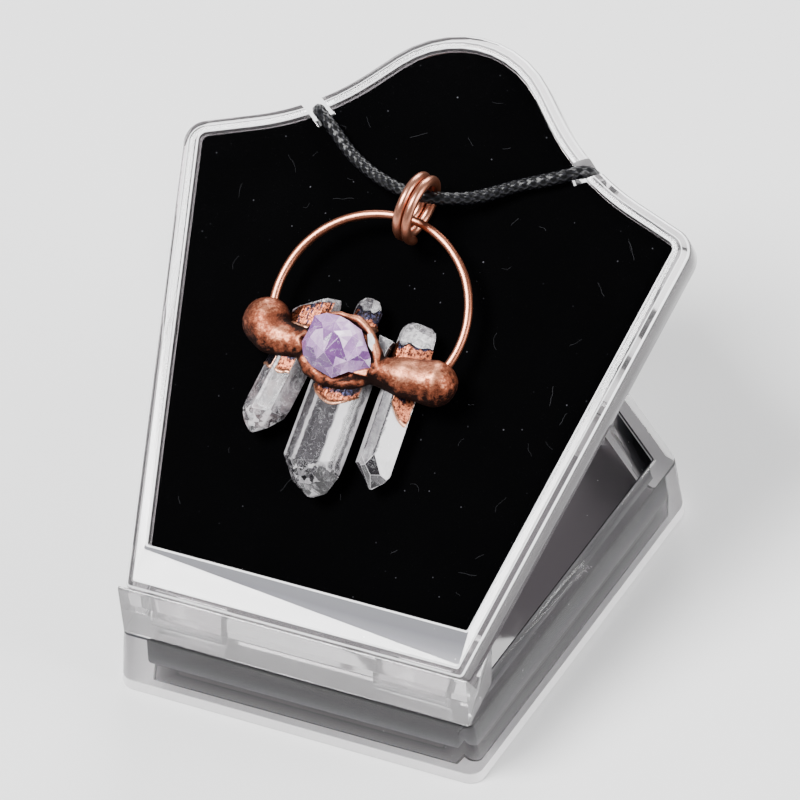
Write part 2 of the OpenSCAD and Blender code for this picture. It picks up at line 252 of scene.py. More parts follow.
def velvet():
    """Black pile with paler patches, and dust in them."""
    n = Nodes("black_velvet")
    patch = n.noise(90, 4, 0.6)
    dusty = n.ramp(patch, (0.42, 0.05), (0.68, 0.75))
    dust = n.times(n.dots(1100.0, (0.05, 0.16), (0.93, 0.955)), dusty)
    base = n.mix(n.times(patch, 0.4), (0.0004, 0.0004, 0.0005), (0.0016, 0.0016, 0.002))
    n.set(Base_Color=n.mix(dust, base, (0.22, 0.22, 0.25)), Roughness=1.0, Specular_IOR_Level=0.02,
          Sheen_Weight=0.006, Sheen_Roughness=0.45, Normal=n.bump(n.noise(9000, 2, 0.8), 0.6, 0.0003))
    return n.mat


def lint():
    n = Nodes("lint")
    shade = n.mix(n.noise(700, 2), (0.012, 0.012, 0.014), (0.06, 0.06, 0.068))
    n.set(Base_Color=shade, Roughness=0.8, Specular_IOR_Level=0.2)
    return n.mat


def waxed_cord():
    """Black thread: the attribute braid is high where a strand is on top."""
    n = Nodes("waxed_cord")
    wax = n.noise(700, 3)
    # Painted light on the strands' tops and painted shade in the gaps between them
    strand_light = n.rise(n.attribute("braid"), 0.45, 0.9)
    colour = n.mix(strand_light, (0.0004, 0.0004, 0.0005), (0.010, 0.010, 0.013))
    n.set(Base_Color=n.mix(n.times(wax, 0.03), colour, (0.03, 0.03, 0.033)),
          Roughness=n.plus(n.times(wax, 0.25), 0.2), Specular_IOR_Level=0.28,
          Coat_Weight=0.02, Coat_Roughness=0.25, Normal=n.bump(n.noise(5200, 3, 0.6), 0.3, 0.00008))
    return n.mat


def copper(name, bright=(0.80, 0.34, 0.20), mid=(0.21, 0.058, 0.029), grain=1.0, rough=0.4):
    """Antiqued copper: the attribute wear_and_light is high where it is worn bright or painted lit, low where
    it is nearly black or in painted shade.
    """
    n = Nodes(name)
    cloud = n.centred(n.noise(300, 5, 0.62))
    fleck = n.centred(n.noise(3600, 4, 0.75))
    wear_and_light = n.plus(n.plus(n.times(cloud, 0.12), n.times(fleck, 0.8 * grain)), n.attribute("wear_and_light"))
    colour = n.mix(n.rise(wear_and_light, 0.12, 0.42), (0.014, 0.006, 0.005), mid)
    colour = n.mix(n.rise(wear_and_light, 0.45, 0.88), colour, bright)
    pit = n.times(n.dots(1300.0, (0.05, 0.2), (0.86, 0.90), number=1), grain, clamp=True)
    colour = n.mix(n.times(pit, 0.8), colour, (0.03, 0.012, 0.01))
    height = n.minus(n.plus(fleck, n.times(cloud, 0.5)), pit)
    n.set(Base_Color=colour, Metallic=0.95, Normal=n.bump(height, 0.5 * grain, 0.0001),
          Roughness=n.plus(n.times(n.minus(0.7, wear_and_light, clamp=True), 0.4), rough))
    return n.mat


def foil():
    """Bright copper foil on the crystals: a paler rim at its edges, blue and black patina where it is dark.
    """
    n = Nodes("copper_foil")
    cloud = n.noise(520, 5, 0.65, distortion=0.6)
    fleck = n.noise(2300, 4, 0.75)
    dark = n.plus(n.attribute("dark"), n.times(n.centred(cloud), 1.8))
    warm = n.mix(n.rise(fleck, 0.44, 0.60), (0.045, 0.011, 0.006), (0.44, 0.135, 0.065))
    patina = n.mix(n.rise(fleck, 0.48, 0.64), (0.008, 0.005, 0.006), (0.028, 0.03, 0.07))
    colour = n.mix(n.rise(dark, 0.45, 0.56), warm, patina)
    n.set(Base_Color=n.mix(n.attribute("rim"), colour, (0.88, 0.44, 0.28)), Metallic=0.9,
          Roughness=n.plus(n.times(fleck, 0.3), 0.14),
          Normal=n.bump(n.plus(n.times(fleck, 0.5), cloud), 0.6, 0.0002))
    return n.mat


def stone(name, stops, clear, rough=0.05, streaks=0.5, clouds=0.9, flecks=0.5, pink=0.0, strips=(),
          broken=0.0, top=40.0):
    """Rough quartz: veils, streaks, flecks and cracks over each facet's grey, the attribute tone, which
    carries painted light and shade.

    Long strips are [mm across, change of grey]. Up to the height broken the stone looks broken into cells,
    and from the height top on it is mottled, both in mm of the attribute local."""
    n = Nodes(name)
    local = n.attribute("local", "Vector")
    across, up, _ = n.add("ShaderNodeSeparateXYZ", {0: local}).outputs
    drawn = n.add("ShaderNodeVectorMath", {0: local, 1: (1.0, 0.22, 1.0)}, operation="MULTIPLY").outputs[0]
    veil = n.centred(n.noise(0.35, 6, 0.7, vector=local, distortion=1.2))
    streak = n.centred(n.noise(1.6, 5, 0.7, vector=drawn))
    tone = n.plus(n.plus(n.attribute("tone"), n.times(veil, clouds)), n.times(streak, streaks))
    # Painted reflection and shade: bright and dark strips across the faces, in the middle of the crystal's
    # length
    if strips:
        wavy = n.plus(across, n.times(n.plus(streak, veil), 0.7))
        change = n.centred(n.along(wavy, 12.0, [(at, 0.5 + by) for at, by in strips], start=-6.0))
        middle = n.along(up, 20.0, [(4.4, 0.0), (5.4, 1.0), (17.0, 1.0), (18.4, 0.0)])
        tone = n.plus(tone, n.times(change, middle))
    if broken:
        shift = n.add("ShaderNodeTexNoise", {"Vector": local, "Scale": 1.0}).outputs["Color"]
        cell = n.cells(1.15, n.add("ShaderNodeVectorMath", {0: local, 1: shift}).outputs[0])[1][0]
        low = n.along(up, 20.0, [(broken, 1.0), (1.25 * broken, 0.0)])
        tone = n.plus(tone, n.times(n.times(n.centred(cell), 1.1), low))
    mottled = n.centred(n.noise(1.1, 6, 0.7, vector=local, distortion=0.5))
    tone = n.plus(tone, n.times(n.times(mottled, 1.5), n.along(up, 40.0, [(top - 0.8, 0.0), (top, 1.0)])))
    fleck = n.rise(n.noise(2.2, 6, 0.8, vector=local, distortion=1.0), 0.60, 0.68)
    speck = n.fall(n.noise(2.6, 5, 0.8, vector=drawn, distortion=0.6), 0.30, 0.36)
    crack = n.math("ABSOLUTE", n.centred(n.noise(0.55, 3, 0.6, vector=local, distortion=0.8)))
    crack = n.fall(crack, 0.0, 0.012)
    colour = n.mix(n.times(fleck, flecks), n.ramp(tone, *stops), (0.93, 0.92, 0.93))
    colour = n.mix(n.times(speck, flecks * 0.8), colour, (0.10, 0.09, 0.10))
    colour = n.mix(n.times(crack, flecks * 0.9), colour, (0.9, 0.9, 0.92))
    if pink:
        rosy = n.times(n.rise(n.noise(0.5, 3, vector=local), 0.45, 0.7), pink)
        colour = n.mix(rosy, colour, (0.80, 0.62, 0.64))
    n.set(Base_Color=colour, IOR=1.544, Transmission_Weight=n.minus(clear, n.times(fleck, 0.3), clamp=True),
          Roughness=n.plus(n.times(fleck, 0.2), rough), Normal=n.bump(n.plus(veil, streak), 0.25, 0.00012),
          Subsurface_Weight=0.12, Subsurface_Radius=(0.001, 0.001, 0.001), Subsurface_Scale=1.0)
    return n.mat


# The acrylic's zones, where painted light and shade stand in for the surroundings that show through it
ACRYLIC = acrylic("clear_acrylic")
FROST = acrylic("cut_acrylic", haze=0.5)
BAR = acrylic("hinge_bar", tint=(0.97, 0.955, 0.962), haze=0.1)
# Painted light: bright lines along edges
PAINTED_LIGHT_LINE = acrylic("painted_light_edge", tint=(0.97, 0.97, 0.98), haze=0.9)
# Painted shade: dark lines along edges
PAINTED_SHADE_LINE = acrylic("painted_shade_edge", tint=(0.004, 0.004, 0.006), haze=0.2)
# Painted shade on the panel's outer sides
SIDE = acrylic("panel_side_painted_shade", tint=(0.10, 0.085, 0.095), haze=0.3)
# Painted shade on the middle of the tray's underside and on the recess floor
UNDERSIDE = acrylic("tray_underside", tint=(0.13, 0.115, 0.125), haze=0.9)
# Painted shade on the tray's underside, darker further in
PAINTED_SHADE_UNDERSIDE = acrylic("tray_underside_inner_painted_shade", wave=0.4, bands=[
    (4.4, (0.24, 0.23, 0.245), 0.93), (8.0, (0.05, 0.05, 0.055), 0.93)])
# Painted light: white where the level is low, clear from about 2 mm up
OUTSIDE = acrylic("tray_outside_painted_light", gloss=0.1, wave=0.2, bands=[
    (0.0, (0.97, 0.95, 0.96), 0.75), (1.9, (0.97, 0.95, 0.96), 0.7), (2.15, CLEAR_TINT, 0.04),
    (12.0, CLEAR_TINT, 0.04)])
# Painted shade on the recess walls, darker towards their top
PAINTED_SHADE_WALL = acrylic("recess_wall_painted_shade", gloss=0.1, wave=0.4, bands=[
    (2.0, CLEAR_TINT, 0.05), (3.5, (0.11, 0.11, 0.12), 0.94), (5.2, (0.045, 0.047, 0.052), 0.95),
    (7.2, (0.012, 0.013, 0.016), 0.96), (9.0, (0.006, 0.0065, 0.008), 0.97)])
# Painted light and shade on the panel's face: pale bands low on it, grey from about 9 mm up
FACE = acrylic("panel_face_painted_light_and_shade", bands=[
    (0.0, (0.95, 0.95, 0.96), 0.4), (1.3, (0.97, 0.96, 0.97), 0.6), (7.0, (0.95, 0.94, 0.95), 0.5),
    (8.8, (0.30, 0.29, 0.30), 0.35)])
# Painted shade on the panel's foot: grey, darker further up
PAINTED_SHADE_FOOT = acrylic("panel_foot_painted_shade", gloss=0.08, bands=[
    (1.6, (0.36, 0.36, 0.38), 0.92), (3.6, (0.22, 0.22, 0.24), 0.93), (5.2, (0.15, 0.15, 0.165), 0.94),
    (7.2, (0.17, 0.17, 0.18), 0.93)])
WIRE = copper("copper_wire", bright=(0.79, 0.37, 0.25), mid=(0.29, 0.098, 0.054), grain=0.35, rough=0.28)
FOIL = foil()
# Colours of the stones from dark to pale: [tone, colour]
GREYS = (
    (0.0, (0.006, 0.005, 0.007)), (0.3, (0.030, 0.027, 0.031)), (0.6, (0.175, 0.165, 0.18)),
    (0.95, (0.92, 0.89, 0.915)))
VIOLETS = (
    (0.0, (0.08, 0.025, 0.12)), (0.35, (0.22, 0.085, 0.28)), (0.65, (0.49, 0.27, 0.56)),
    (1.0, (0.94, 0.74, 0.96)))
SILVER = stone("mirror_stone", GREYS, 0.1, rough=0.06, streaks=0.6, clouds=0.5, flecks=0.5)

# Cord: its route is given as [u, v, h] on the panel in front and [x, y, z] behind the stand, in mm
CORD_R = 1.0
CORD_SIDES, STRANDS, PITCH = 32, 6, 1.5
NOTCH_AT, NOTCH_ANGLE, NOTCH_W = (19.9, 77.8), math.radians(35), 3.1
EDGE_BEND_R, EDGE_BEND_IN, EDGE_BEND_H = 4.5, 1.1, -4.2
EDGE_ANGLES = (0, 20, 60, 105)
CORD_FRONT = [[-14, 73.2, 0.6], [-8.5, 70.3, 2], [0, 68.3, 4.2], [7.4, 70.5, 2], [13, 74.2, 0.6]]
CLASP_AT = np.array([-30.5, 106, 2.3])
CLASP_LEN = 12.0
CORD_LEFT = [
    [-38.2, 106, 2.3], [-42.2, 103.2, 1.6], [-51.6, 88.4, 1.1], [-59.8, 82.8, 1.1], [-64.2, 75.4, 1.1],
    [-62.4, 66.6, 1.1], [-53.4, 40.8, 1.1], [-46.6, 34.8, 1.2], [-34, 45.4, 1.3], [-29.8, 46.6, 1.9],
    [-26.2, 45, 6], [-22, 35, 50]]
CORD_RIGHT = [
    [21.8, 35, 50], [17.2, 45.4, 6.6], [14.6, 49.6, 1.9], [11.2, 53.4, 1.3], [-1.4, 63.2, 1.1],
    [-1, 69.6, 1.1], [10, 73.4, 1.1], [13.6, 76.4, 1.1], [13, 80.4, 1.1], [7.4, 83.4, 1.1],
    [-8.6, 93, 1.1], [-18.2, 103.8, 1.5], [-22.8, 106, 2.3]]


def over_edge(side, angles):
    """Points where the cord bends over the outer edge, at the left for side -1 and the right for 1."""
    rows = []
    for a in (math.radians(x) for x in angles):
        out = EDGE_BEND_R * math.sin(a) - EDGE_BEND_IN
        rows.append([side * (NOTCH_AT[0] + out * math.cos(NOTCH_ANGLE)),
                     NOTCH_AT[1] + out * math.sin(NOTCH_ANGLE), EDGE_BEND_H + EDGE_BEND_R * math.cos(a)])
    return rows


def smooth_curve(points, step):
    """The same curve as the CAD cord's: Hermite pieces with chord-length tangents."""
    pts = [np.array(p, float) for p in points]
    last = len(pts) - 1

    def along(i):
        before = pts[i] - pts[i - 1] if i > 0 else pts[1] - pts[0]
        after = pts[i + 1] - pts[i] if i < last else before
        a, b = np.linalg.norm(before), np.linalg.norm(after)
        return (before * b / a + after * a / b) / (a + b)

    out = []
    for i in range(last):
        p, q, m, k = pts[i], pts[i + 1], along(i), along(i + 1)
        d = np.linalg.norm(q - p)
        count = max(1, math.ceil(d / step))
        for t in (j / count for j in range(count)):
            t2, t3 = t * t, t ** 3
            place = p * (2 * t3 - 3 * t2 + 1) + q * (3 * t2 - 2 * t3)
            out.append(place + d * (m * (t3 - 2 * t2 + t) + k * (t3 - t2)))
    return np.array(out + [pts[-1]])


def evenly(line, step):
    """The line again, with points the same distance apart."""
    at = np.concatenate([[0], np.cumsum(np.linalg.norm(np.diff(line, axis=0), axis=1))])
    want = np.linspace(0, at[-1], int(at[-1] / step) + 1)
    return np.stack([np.interp(want, at, line[:, k]) for k in range(3)], -1), want


def frames(line, first=(0, 0, 1)):
    """Unit tangents, and normals that turn as little as possible."""
    t = np.gradient(line, axis=0)
    t /= np.linalg.norm(t, axis=1)[:, None]
    n = np.array(first, float)
    normals = []
    for d in t:
        n = n - (n @ d) * d
        n /= np.linalg.norm(n)
        normals.append(n)
    normals = np.array(normals)
    return t, normals, np.cross(t, normals)


def tube(line, radius, sides, first=(0, 0, 1)):
    """Points and faces of a closed tube, whose radius may differ from point to point and round it."""
    _, n, b = frames(line, first)
    turn = np.arange(sides) * 2 * math.pi / sides
    radius = np.asarray(radius, float)
    if radius.ndim == 1:
        radius = radius[:, None]
    ring = np.cos(turn)[None, :, None] * n[:, None] + np.sin(turn)[None, :, None] * b[:, None]
    verts = (line[:, None] + np.broadcast_to(radius, (len(line), sides))[..., None] * ring).reshape(-1, 3)
    return verts, solid_faces(len(line), sides)


def make_cord():
    """The braided cord, a little uneven in thickness, and its middle line."""
    half = np.array([CLASP_LEN / 2, 0, 0])
    front = on_panel(over_edge(-1, EDGE_ANGLES[::-1]) + CORD_FRONT + over_edge(1, EDGE_ANGLES))
    line = smooth_curve([CLASP_AT - half, *CORD_LEFT, *front, *CORD_RIGHT, CLASP_AT + half], 0.8)
    for _ in range(4):
        line[1:-1] = line[1:-1] * 0.5 + (line[:-2] + line[2:]) * 0.25
    line, s = evenly(line, 0.22)
    turn = np.arange(CORD_SIDES) / CORD_SIDES
    one_way = STRANDS * turn[None, :] + s[:, None] / PITCH
    other_way = STRANDS * turn[None, :] - s[:, None] / PITCH
    over = (np.floor(one_way) + np.floor(other_way)) % 2 < 1
    across = np.where(over, one_way, other_way) % 1
    along = np.where(over, other_way, one_way) % 1
    braid = np.sin(np.pi * across) ** 0.7 * (0.55 + 0.45 * np.sin(np.pi * along))
    rng = np.random.default_rng(4)
    uneven = 1 + 0.02 * np.interp(s, np.arange(0, s[-1] + 3, 3), rng.standard_normal(int(s[-1] / 3) + 2))
    verts, faces = tube(line, CORD_R * (0.82 + 0.21 * braid) * uneven[:, None], CORD_SIDES)
    obj = link("cord_braid", verts, faces, waxed_cord(), "stand")
    set_attribute(obj, "braid", braid.ravel())
    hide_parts("cord")
    return obj, line


# Clasp: [place along it, radius], with two grooves where its halves meet
CLASP_PROFILE = [
    (-6, 1.1), (-5.9, 1.5), (-5.6, 1.85), (-5, 2.1), (-4.2, 2.2), (-0.9, 2.2), (-0.75, 2.05), (-0.6, 2.2),
    (0.1, 2.2), (0.2, 1.95), (0.35, 1.95), (0.45, 2.2), (4.2, 2.2), (5, 2.1), (5.6, 1.85), (5.9, 1.5),
    (6, 1.1)]
KNURLS, KNURL_DEPTH = 32, 0.05


def make_clasp():
    """A plain screw barrel with domed ends and fine knurling."""
    verts = []
    for along, r in CLASP_PROFILE:
        depth = KNURL_DEPTH if 0.4 < abs(along) < 4.5 else 0.0
        for k in range(2 * KNURLS):
            turn, out = math.pi * k / KNURLS, r - depth * (k % 2)
            verts.append(CLASP_AT + [along, out * math.cos(turn), out * math.sin(turn)])
    faces = solid_faces(len(CLASP_PROFILE), 2 * KNURLS)
    obj = link("clasp_barrel", verts, faces, copper("clasp_copper", grain=0.6), "stand")
    set_attribute(obj, "wear_and_light", np.full(len(verts), 0.5))
    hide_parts("clasp")
    return obj


cord_obj, cord_line = make_cord()
clasp_obj = make_clasp()

# Stand, in mm: corners are [across, along, rounding], from the front right one round
BASE_CORNERS = [
    (28.5, 0, 1.2), (38.5, 62, 2.5), (23.5, 76, 4), (-23.5, 76, 4), (-38.5, 62, 2.5), (-28.5, 0, 1.2)]
BASE_H, BASE_WALL, BASE_FLARE, BASE_FRONT = 11.6, 3.5, 1.4, -38.0
PANEL_CORNERS = [
    (27.4, 0, 1), (42.1, 72.4, 4), (22.4, 79.5, 38), (0, 104.4, 17), (-22.4, 79.5, 38), (-42.1, 72.4, 4),
    (-27.4, 0, 1)]
RIM_WIDTHS = [3, 2.5, 2.5, 2.5, 2.5, 3, 3]
PANEL_T, FOOT_STRIP, FOOT_SLANT, RECESS_H = 6.0, 7.2, 2.2, -2.3
LEAST_ROUNDING = 0.4


def solid_from_loops(loops):
    """Points and faces of a solid through closed loops [(points, z), ...] with the same number of points."""
    count = len(loops[0][0])
    verts = np.concatenate([np.column_stack([loop, np.full(count, z)]) for loop, z in loops])
    return verts, solid_faces(len(loops), count)


def neighbours(corners):
    """Each corner's place, between those of the corners before and after it."""
    places = [np.array(c[:2], float) for c in corners]
    return zip(places[-1:] + places, places, places[1:] + places[:1])


def inset(corners, widths):
    """The corners once each edge has moved inwards by its own width, each with its rounding to match."""
    rows = []
    for i, (a, b, c) in enumerate(neighbours(corners)):
        before, after = (b - a) / np.linalg.norm(b - a), (c - b) / np.linalg.norm(c - b)
        bend = before[0] * after[1] - before[1] * after[0]
        moved = b + (widths[i - 1] * after - widths[i] * before) / bend
        r = corners[i][2] - math.copysign(1, bend) * (widths[i - 1] + widths[i]) / 2
        rows.append((*moved, max(r, LEAST_ROUNDING)))
    return rows


def corner_loop(corners, steps=8):
    """Outline with the same number of points at every corner, so that two of them can be joined."""
    rows = []
    for (_, _, r), (a, b, c) in zip(corners, neighbours(corners)):
        ua, uc = (a - b) / np.linalg.norm(a - b), (c - b) / np.linalg.norm(c - b)
        half = math.acos(np.clip(ua @ uc, -1, 1)) / 2
        middle = b + (ua + uc) / np.linalg.norm(ua + uc) * r / math.sin(half)
        first, last = b + ua * r / math.tan(half) - middle, b + uc * r / math.tan(half) - middle
        start = math.atan2(first[1], first[0])
        sweep = (math.atan2(last[1], last[0]) - start + math.pi) % (2 * math.pi) - math.pi
        turns = [start + sweep * k / steps for k in range(steps + 1)]
        rows += [middle + r * np.array([math.cos(turn), math.sin(turn)]) for turn in turns]
    return np.array(rows)


def applied(obj):
    """The object's mesh with its modifiers applied."""
    bpy.context.view_layer.update()
    mesh = bpy.data.meshes.new_from_object(obj.evaluated_get(bpy.context.evaluated_depsgraph_get()))
    old = obj.data
    obj.modifiers.clear()
    obj.data = mesh
    bpy.data.meshes.remove(old)


def crisp(obj, angle):
    """Smooth shading with sharp edges kept where faces meet at more than the angle."""
    bm = bmesh.new()
    bm.from_mesh(obj.data)
    limit = math.radians(angle)
    for e in bm.edges:
        e.smooth = len(e.link_faces) == 2 and e.calc_face_angle(0) < limit
    for f in bm.faces:
        f.smooth = True
    bm.to_mesh(obj.data)
    bm.free()


def corner_ring(corners, distance, steps=8):
    """The outline a distance further in."""
    return corner_loop(inset(corners, [distance] * len(corners)), steps)


def paint_rings(obj, count, mats):
    """Gives rings of count faces materials of their own; the two end faces come as one more ring."""
    for mat, rings in mats:
        obj.data.materials.append(mat)
        for number in rings:
            for face in list(obj.data.polygons)[number * count:(number + 1) * count]:
                face.material_index = obj.data.materials.find(mat.name)


def make_tray():
    """Tray with softened edges: [distance inside the outer wall, height] from below round to the floor."""
    def flared(z):
        return BASE_FLARE * (z / BASE_H - 1)

    wall, top = BASE_WALL, BASE_H
    profile = [
        (wall + 4.5, 0), (wall + 0.9, 0), (wall + 0.5, 0), (flared(0) + 0.3, 0), (flared(0) + 0.08, 0.08),
        (flared(0.3), 0.3), (flared(3), 3.0), (flared(7), 7.0), (flared(top - 0.45), top - 0.45),
        (0.13, top - 0.13), (0.45, top), (wall - 0.35, top), (wall - 0.1, top - 0.1), (wall, top - 0.35),
        (wall, 6.0), (wall, wall + 0.8), (wall + 0.12, wall + 0.4), (wall + 0.4, wall + 0.12),
        (wall + 0.8, wall)]
    verts, faces = solid_from_loops([(corner_ring(BASE_CORNERS, d), z) for d, z in profile])
    verts[:, 1] += BASE_FRONT
    obj = link("tray", verts, faces, ACRYLIC, "stand")
    count = len(verts) // len(profile)
    # The level that places the painted bands: height up the walls and distance in on the underside, on the
    # front and the right only, 0 elsewhere
    front_or_right = (verts[:, 1] < BASE_FRONT + 12) | (verts[:, 0] > 25)
    level = np.repeat([d if z == 0 else z for d, z in profile], count)
    set_attribute(obj, "level", np.where(front_or_right, level, 0))
    # Rings of painted light and shade: dark and bright lines along the edges, the pale outside, and shade on
    # the recess walls, the underside and the recess floor
    paint_rings(obj, count, [
        (PAINTED_SHADE_UNDERSIDE, [0]), (PAINTED_SHADE_LINE, [1, 8, 11]), (PAINTED_LIGHT_LINE, [2, 3, 12]), (OUTSIDE, [4, 5, 6, 7]),
        (PAINTED_SHADE_WALL, [13, 14, 15, 16]), (UNDERSIDE, [18])])
    crisp(obj, 28)
    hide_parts("base_tray")


def recess_corners(distance):
    """Corners of the recess a distance further in: the panel's, inside its rim and cut off above the foot."""
    corners = inset(PANEL_CORNERS, [w + distance for w in RIM_WIDTHS])
    foot = FOOT_STRIP + distance
    first, second = np.array(corners[0][:2]), np.array(corners[1][:2])
    u = first[0] + (second - first)[0] / (second - first)[1] * (foot - first[1])
    return [(u, foot, LEAST_ROUNDING), *corners[1:-1], (-u, foot, LEAST_ROUNDING)]


def notch_box(side, inside, low=-8, high=3, reach=12):
    """Corners of the box that cuts a cord notch."""
    axis = np.array([math.cos(NOTCH_ANGLE), math.sin(NOTCH_ANGLE)])
    across = np.array([-axis[1], axis[0]]) * (NOTCH_W / 2 + inside)
    start = np.array(NOTCH_AT) - axis * inside
    flat = [start - across, start + axis * reach - across, start + axis * reach + across, start + across]
    return [[side * p[0], p[1], h] for h in (low, high) for p in flat]


def cut_notches(obj, inside, mat):
    """Cuts both notches; their walls get a material of their own."""
    quads = [(0, 3, 2, 1), (4, 5, 6, 7), (0, 1, 5, 4), (1, 2, 6, 5), (2, 3, 7, 6), (3, 0, 4, 7)]
    obj.data.materials.append(mat)
    for side in (-1, 1):
        mesh = bpy.data.meshes.new("notch_tool")
        mesh.from_pydata((on_panel(notch_box(side, inside)) * MM).tolist(), [], quads)
        mesh.materials.append(mat)
        bm = bmesh.new()
        bm.from_mesh(mesh)
        bmesh.ops.recalc_face_normals(bm, faces=bm.faces)
        bm.to_mesh(mesh)
        bm.free()
        tool = bpy.data.objects.new("notch_tool", mesh)
        scene.collection.objects.link(tool)
        cut = obj.modifiers.new("notch", "BOOLEAN")
        cut.operation, cut.object, cut.solver, cut.material_mode = "DIFFERENCE", tool, "EXACT", "TRANSFER"
        applied(obj)
        bpy.data.objects.remove(tool)


def make_panel():
    """Panel with a broad soft bevel round its face, a raised rim and two cord notches."""
    outer = [
        (0.5, -PANEL_T), (0.15, -PANEL_T + 0.15), (0, -PANEL_T + 0.5), (0, -3), (0, -1.15), (0.06, -0.8),
        (0.22, -0.45), (0.5, -0.2), (1.25, -0.03), (1.4, 0.0)]
    inner = [(-0.4, 0.0), (-0.12, -0.1), (0, -0.35), (0, RECESS_H)]
    rows = [(corner_ring(PANEL_CORNERS, d, 10), h) for d, h in outer]
    rows += [(corner_loop(recess_corners(d), 10), h) for d, h in inner]
    last = len(outer)
    middle = (rows[last - 1][0] + rows[last][0]) / 2
    at_foot = middle[:, 1] < FOOT_STRIP
    middle[at_foot, 1] -= FOOT_SLANT * np.sign(middle[at_foot, 0])
    rows.insert(last, (middle, 0.0))
    verts, faces = solid_from_loops(rows)
    count = len(verts) // len(rows)
    obj = link("rim_panel", on_panel(verts), faces, ACRYLIC, "stand")
    set_attribute(obj, "level", np.clip(verts[:, 1], 0, BAND_SPAN))
    # Rings of painted light and shade: shaded outer sides, bright lines along the rim, the face's pale and
    # grey bands and the foot's grey shade
    paint_rings(obj, count, [(SIDE, [2, 3]), (PAINTED_LIGHT_LINE, [6, 8, 11]), (FACE, [last - 1]), (PAINTED_SHADE_FOOT, [last])])
    for face in list(obj.data.polygons)[last * count:(last + 1) * count]:
        if verts[list(face.vertices), 1].max() > FOOT_STRIP:
            face.material_index = obj.data.materials.find(FACE.name)
    cut_notches(obj, 0, FROST)
    crisp(obj, 28)
    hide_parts("panel")


def make_velvet():
    """The velvet in the recess, with its edge rounded over."""
    profile = [(0.1, RECESS_H + 0.1), (0.1, -1.35), (0.22, -1.12), (0.5, -1.0)]
    verts, faces = solid_from_loops([(corner_loop(recess_corners(d), 10), h) for d, h in profile])
    obj = link("velvet_face", on_panel(verts), faces, velvet(), "stand")
    cut_notches(obj, 0.1, obj.data.materials[0])
    crisp(obj, 40)
    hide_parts("velvet_pad")


HAIRS, HAIR_POINTS, HAIR_SIDES = 46, 9, 4


def make_lint():
    """Short loose hairs that lie on the velvet, more of them near its edges."""
    rng = np.random.default_rng(9)
    edge = corner_loop(recess_corners(1.5), 4)
    verts, faces = [], []
    while len(verts) < HAIRS:
        at = rng.uniform((-38, 9), (38, 95))
        d = sd_polygon(at[None], edge)[0]
        if d > -0.5 or rng.uniform() > 0.35 + math.exp(d / 6):
            continue
        turn = np.cumsum(rng.normal(0, 0.25, HAIR_POINTS)) + rng.uniform(0, 6.3)
        step = rng.uniform(0.10, 0.42)
        line = np.cumsum(np.column_stack([np.cos(turn), np.sin(turn)]), 0) * step + at
        if sd_polygon(line, edge).max() > -0.2:
            continue
        line = np.column_stack([line, -0.96 + 0.05 * np.sin(np.linspace(0, 3, HAIR_POINTS))])
        points, quads = tube(line, np.full(HAIR_POINTS, rng.uniform(0.012, 0.024)), HAIR_SIDES)
        faces += [[k + len(verts) * HAIR_POINTS * HAIR_SIDES for k in f] for f in quads]
        verts.append(points)
    link("velvet_lint", on_panel(np.concatenate(verts)), faces, lint(), "stand")


def sd_polygon(p, pts):
    """Signed distance from points to a closed polygon, negative inside."""
    d = np.full(len(p), 1e9)
    inside = np.zeros(len(p), bool)
    for a, b in zip(pts, np.roll(pts, -1, 0)):
        e, w = b - a, p - a
        t = np.clip(w @ e / (e @ e), 0, 1)
        d = np.minimum(d, np.sum((w - t[:, None] * e) ** 2, 1))
        cond = (a[1] > p[:, 1]) != (b[1] > p[:, 1])
        with np.errstate(divide="ignore", invalid="ignore"):
            x = a[0] + (p[:, 1] - a[1]) * e[0] / e[1]
        inside ^= cond & (p[:, 0] < x)
    return np.sqrt(d) * np.where(inside, -1, 1)


def sd_cone(p, a, b, ra, rb):
    """Distance to a rounded bar from a to b, with a radius at each end."""
    a, b = np.array(a, float), np.array(b, float)
    e, w = b - a, p - a
    t = np.clip(w @ e / (e @ e), 0, 1)
    return np.linalg.norm(w - t[:, None] * e, axis=1) - (ra + (rb - ra) * t)


def smin(a, b, k):
    """The smaller of two distances, blended where they differ by less than k."""
    h = np.clip(0.5 + 0.5 * (b - a) / k, 0, 1)
    return b * (1 - h) + a * h - k * h * (1 - h)


def value_noise(p, scale, seed, n=32):
    """Smooth noise from -1 to 1 on a lattice."""
    table = np.random.default_rng(seed).uniform(-1, 1, (n, n, n))
    q = p * scale
    i = np.floor(q).astype(int)
    f = q - i
    f = f * f * (3 - 2 * f)
    total = 0
    for corner in np.ndindex(2, 2, 2):
        x, y, z = ((i + corner) % n).T
        total = total + np.prod(np.where(corner, f, 1 - f), axis=1) * table[x, y, z]
    return total


# Copper band, in pendant coordinates in mm. The amethyst's outline, the setting under it and its middle
AMETHYST = np.array([
    [4, -9.1], [3.2, -7.3], [1.3, -4.6], [-0.6, -3.3], [-3.3, -2.6], [-5.4, -2.9], [-7, -4.2], [-8, -7.3],
    [-6.9, -9.5], [-4.5, -11.2], [-1.6, -11.9], [1.1, -10.5]])
SETTING = np.array([
    [-6.3, -8.2], [-4.4, -10.6], [-1, -11.2], [2, -10.2], [2.8, -6.6], [0, -3.8], [-5.6, -3.9]])
STONE_MIDDLE = (-2, -7.2)
# Its lobes: the bulb at the left, the neck beside it and the club at the right, as [end, end, radius at each]
BULB_AT, BULB_R = [-15.1, -5.4, -0.2], 3.75
NECK = ((-13.6, -7.3, 0.5), (-8.2, -7.6, 1.3), 2.9, 2.35)
CLUB_NECK = ((4.6, -8.9, 1.2), (8.8, -8.8, 1.1), 2.2, 2.85)
CLUB = ((8.8, -8.8, 1.1), (13.2, -8.5, 0.5), 2.85, 3.5)
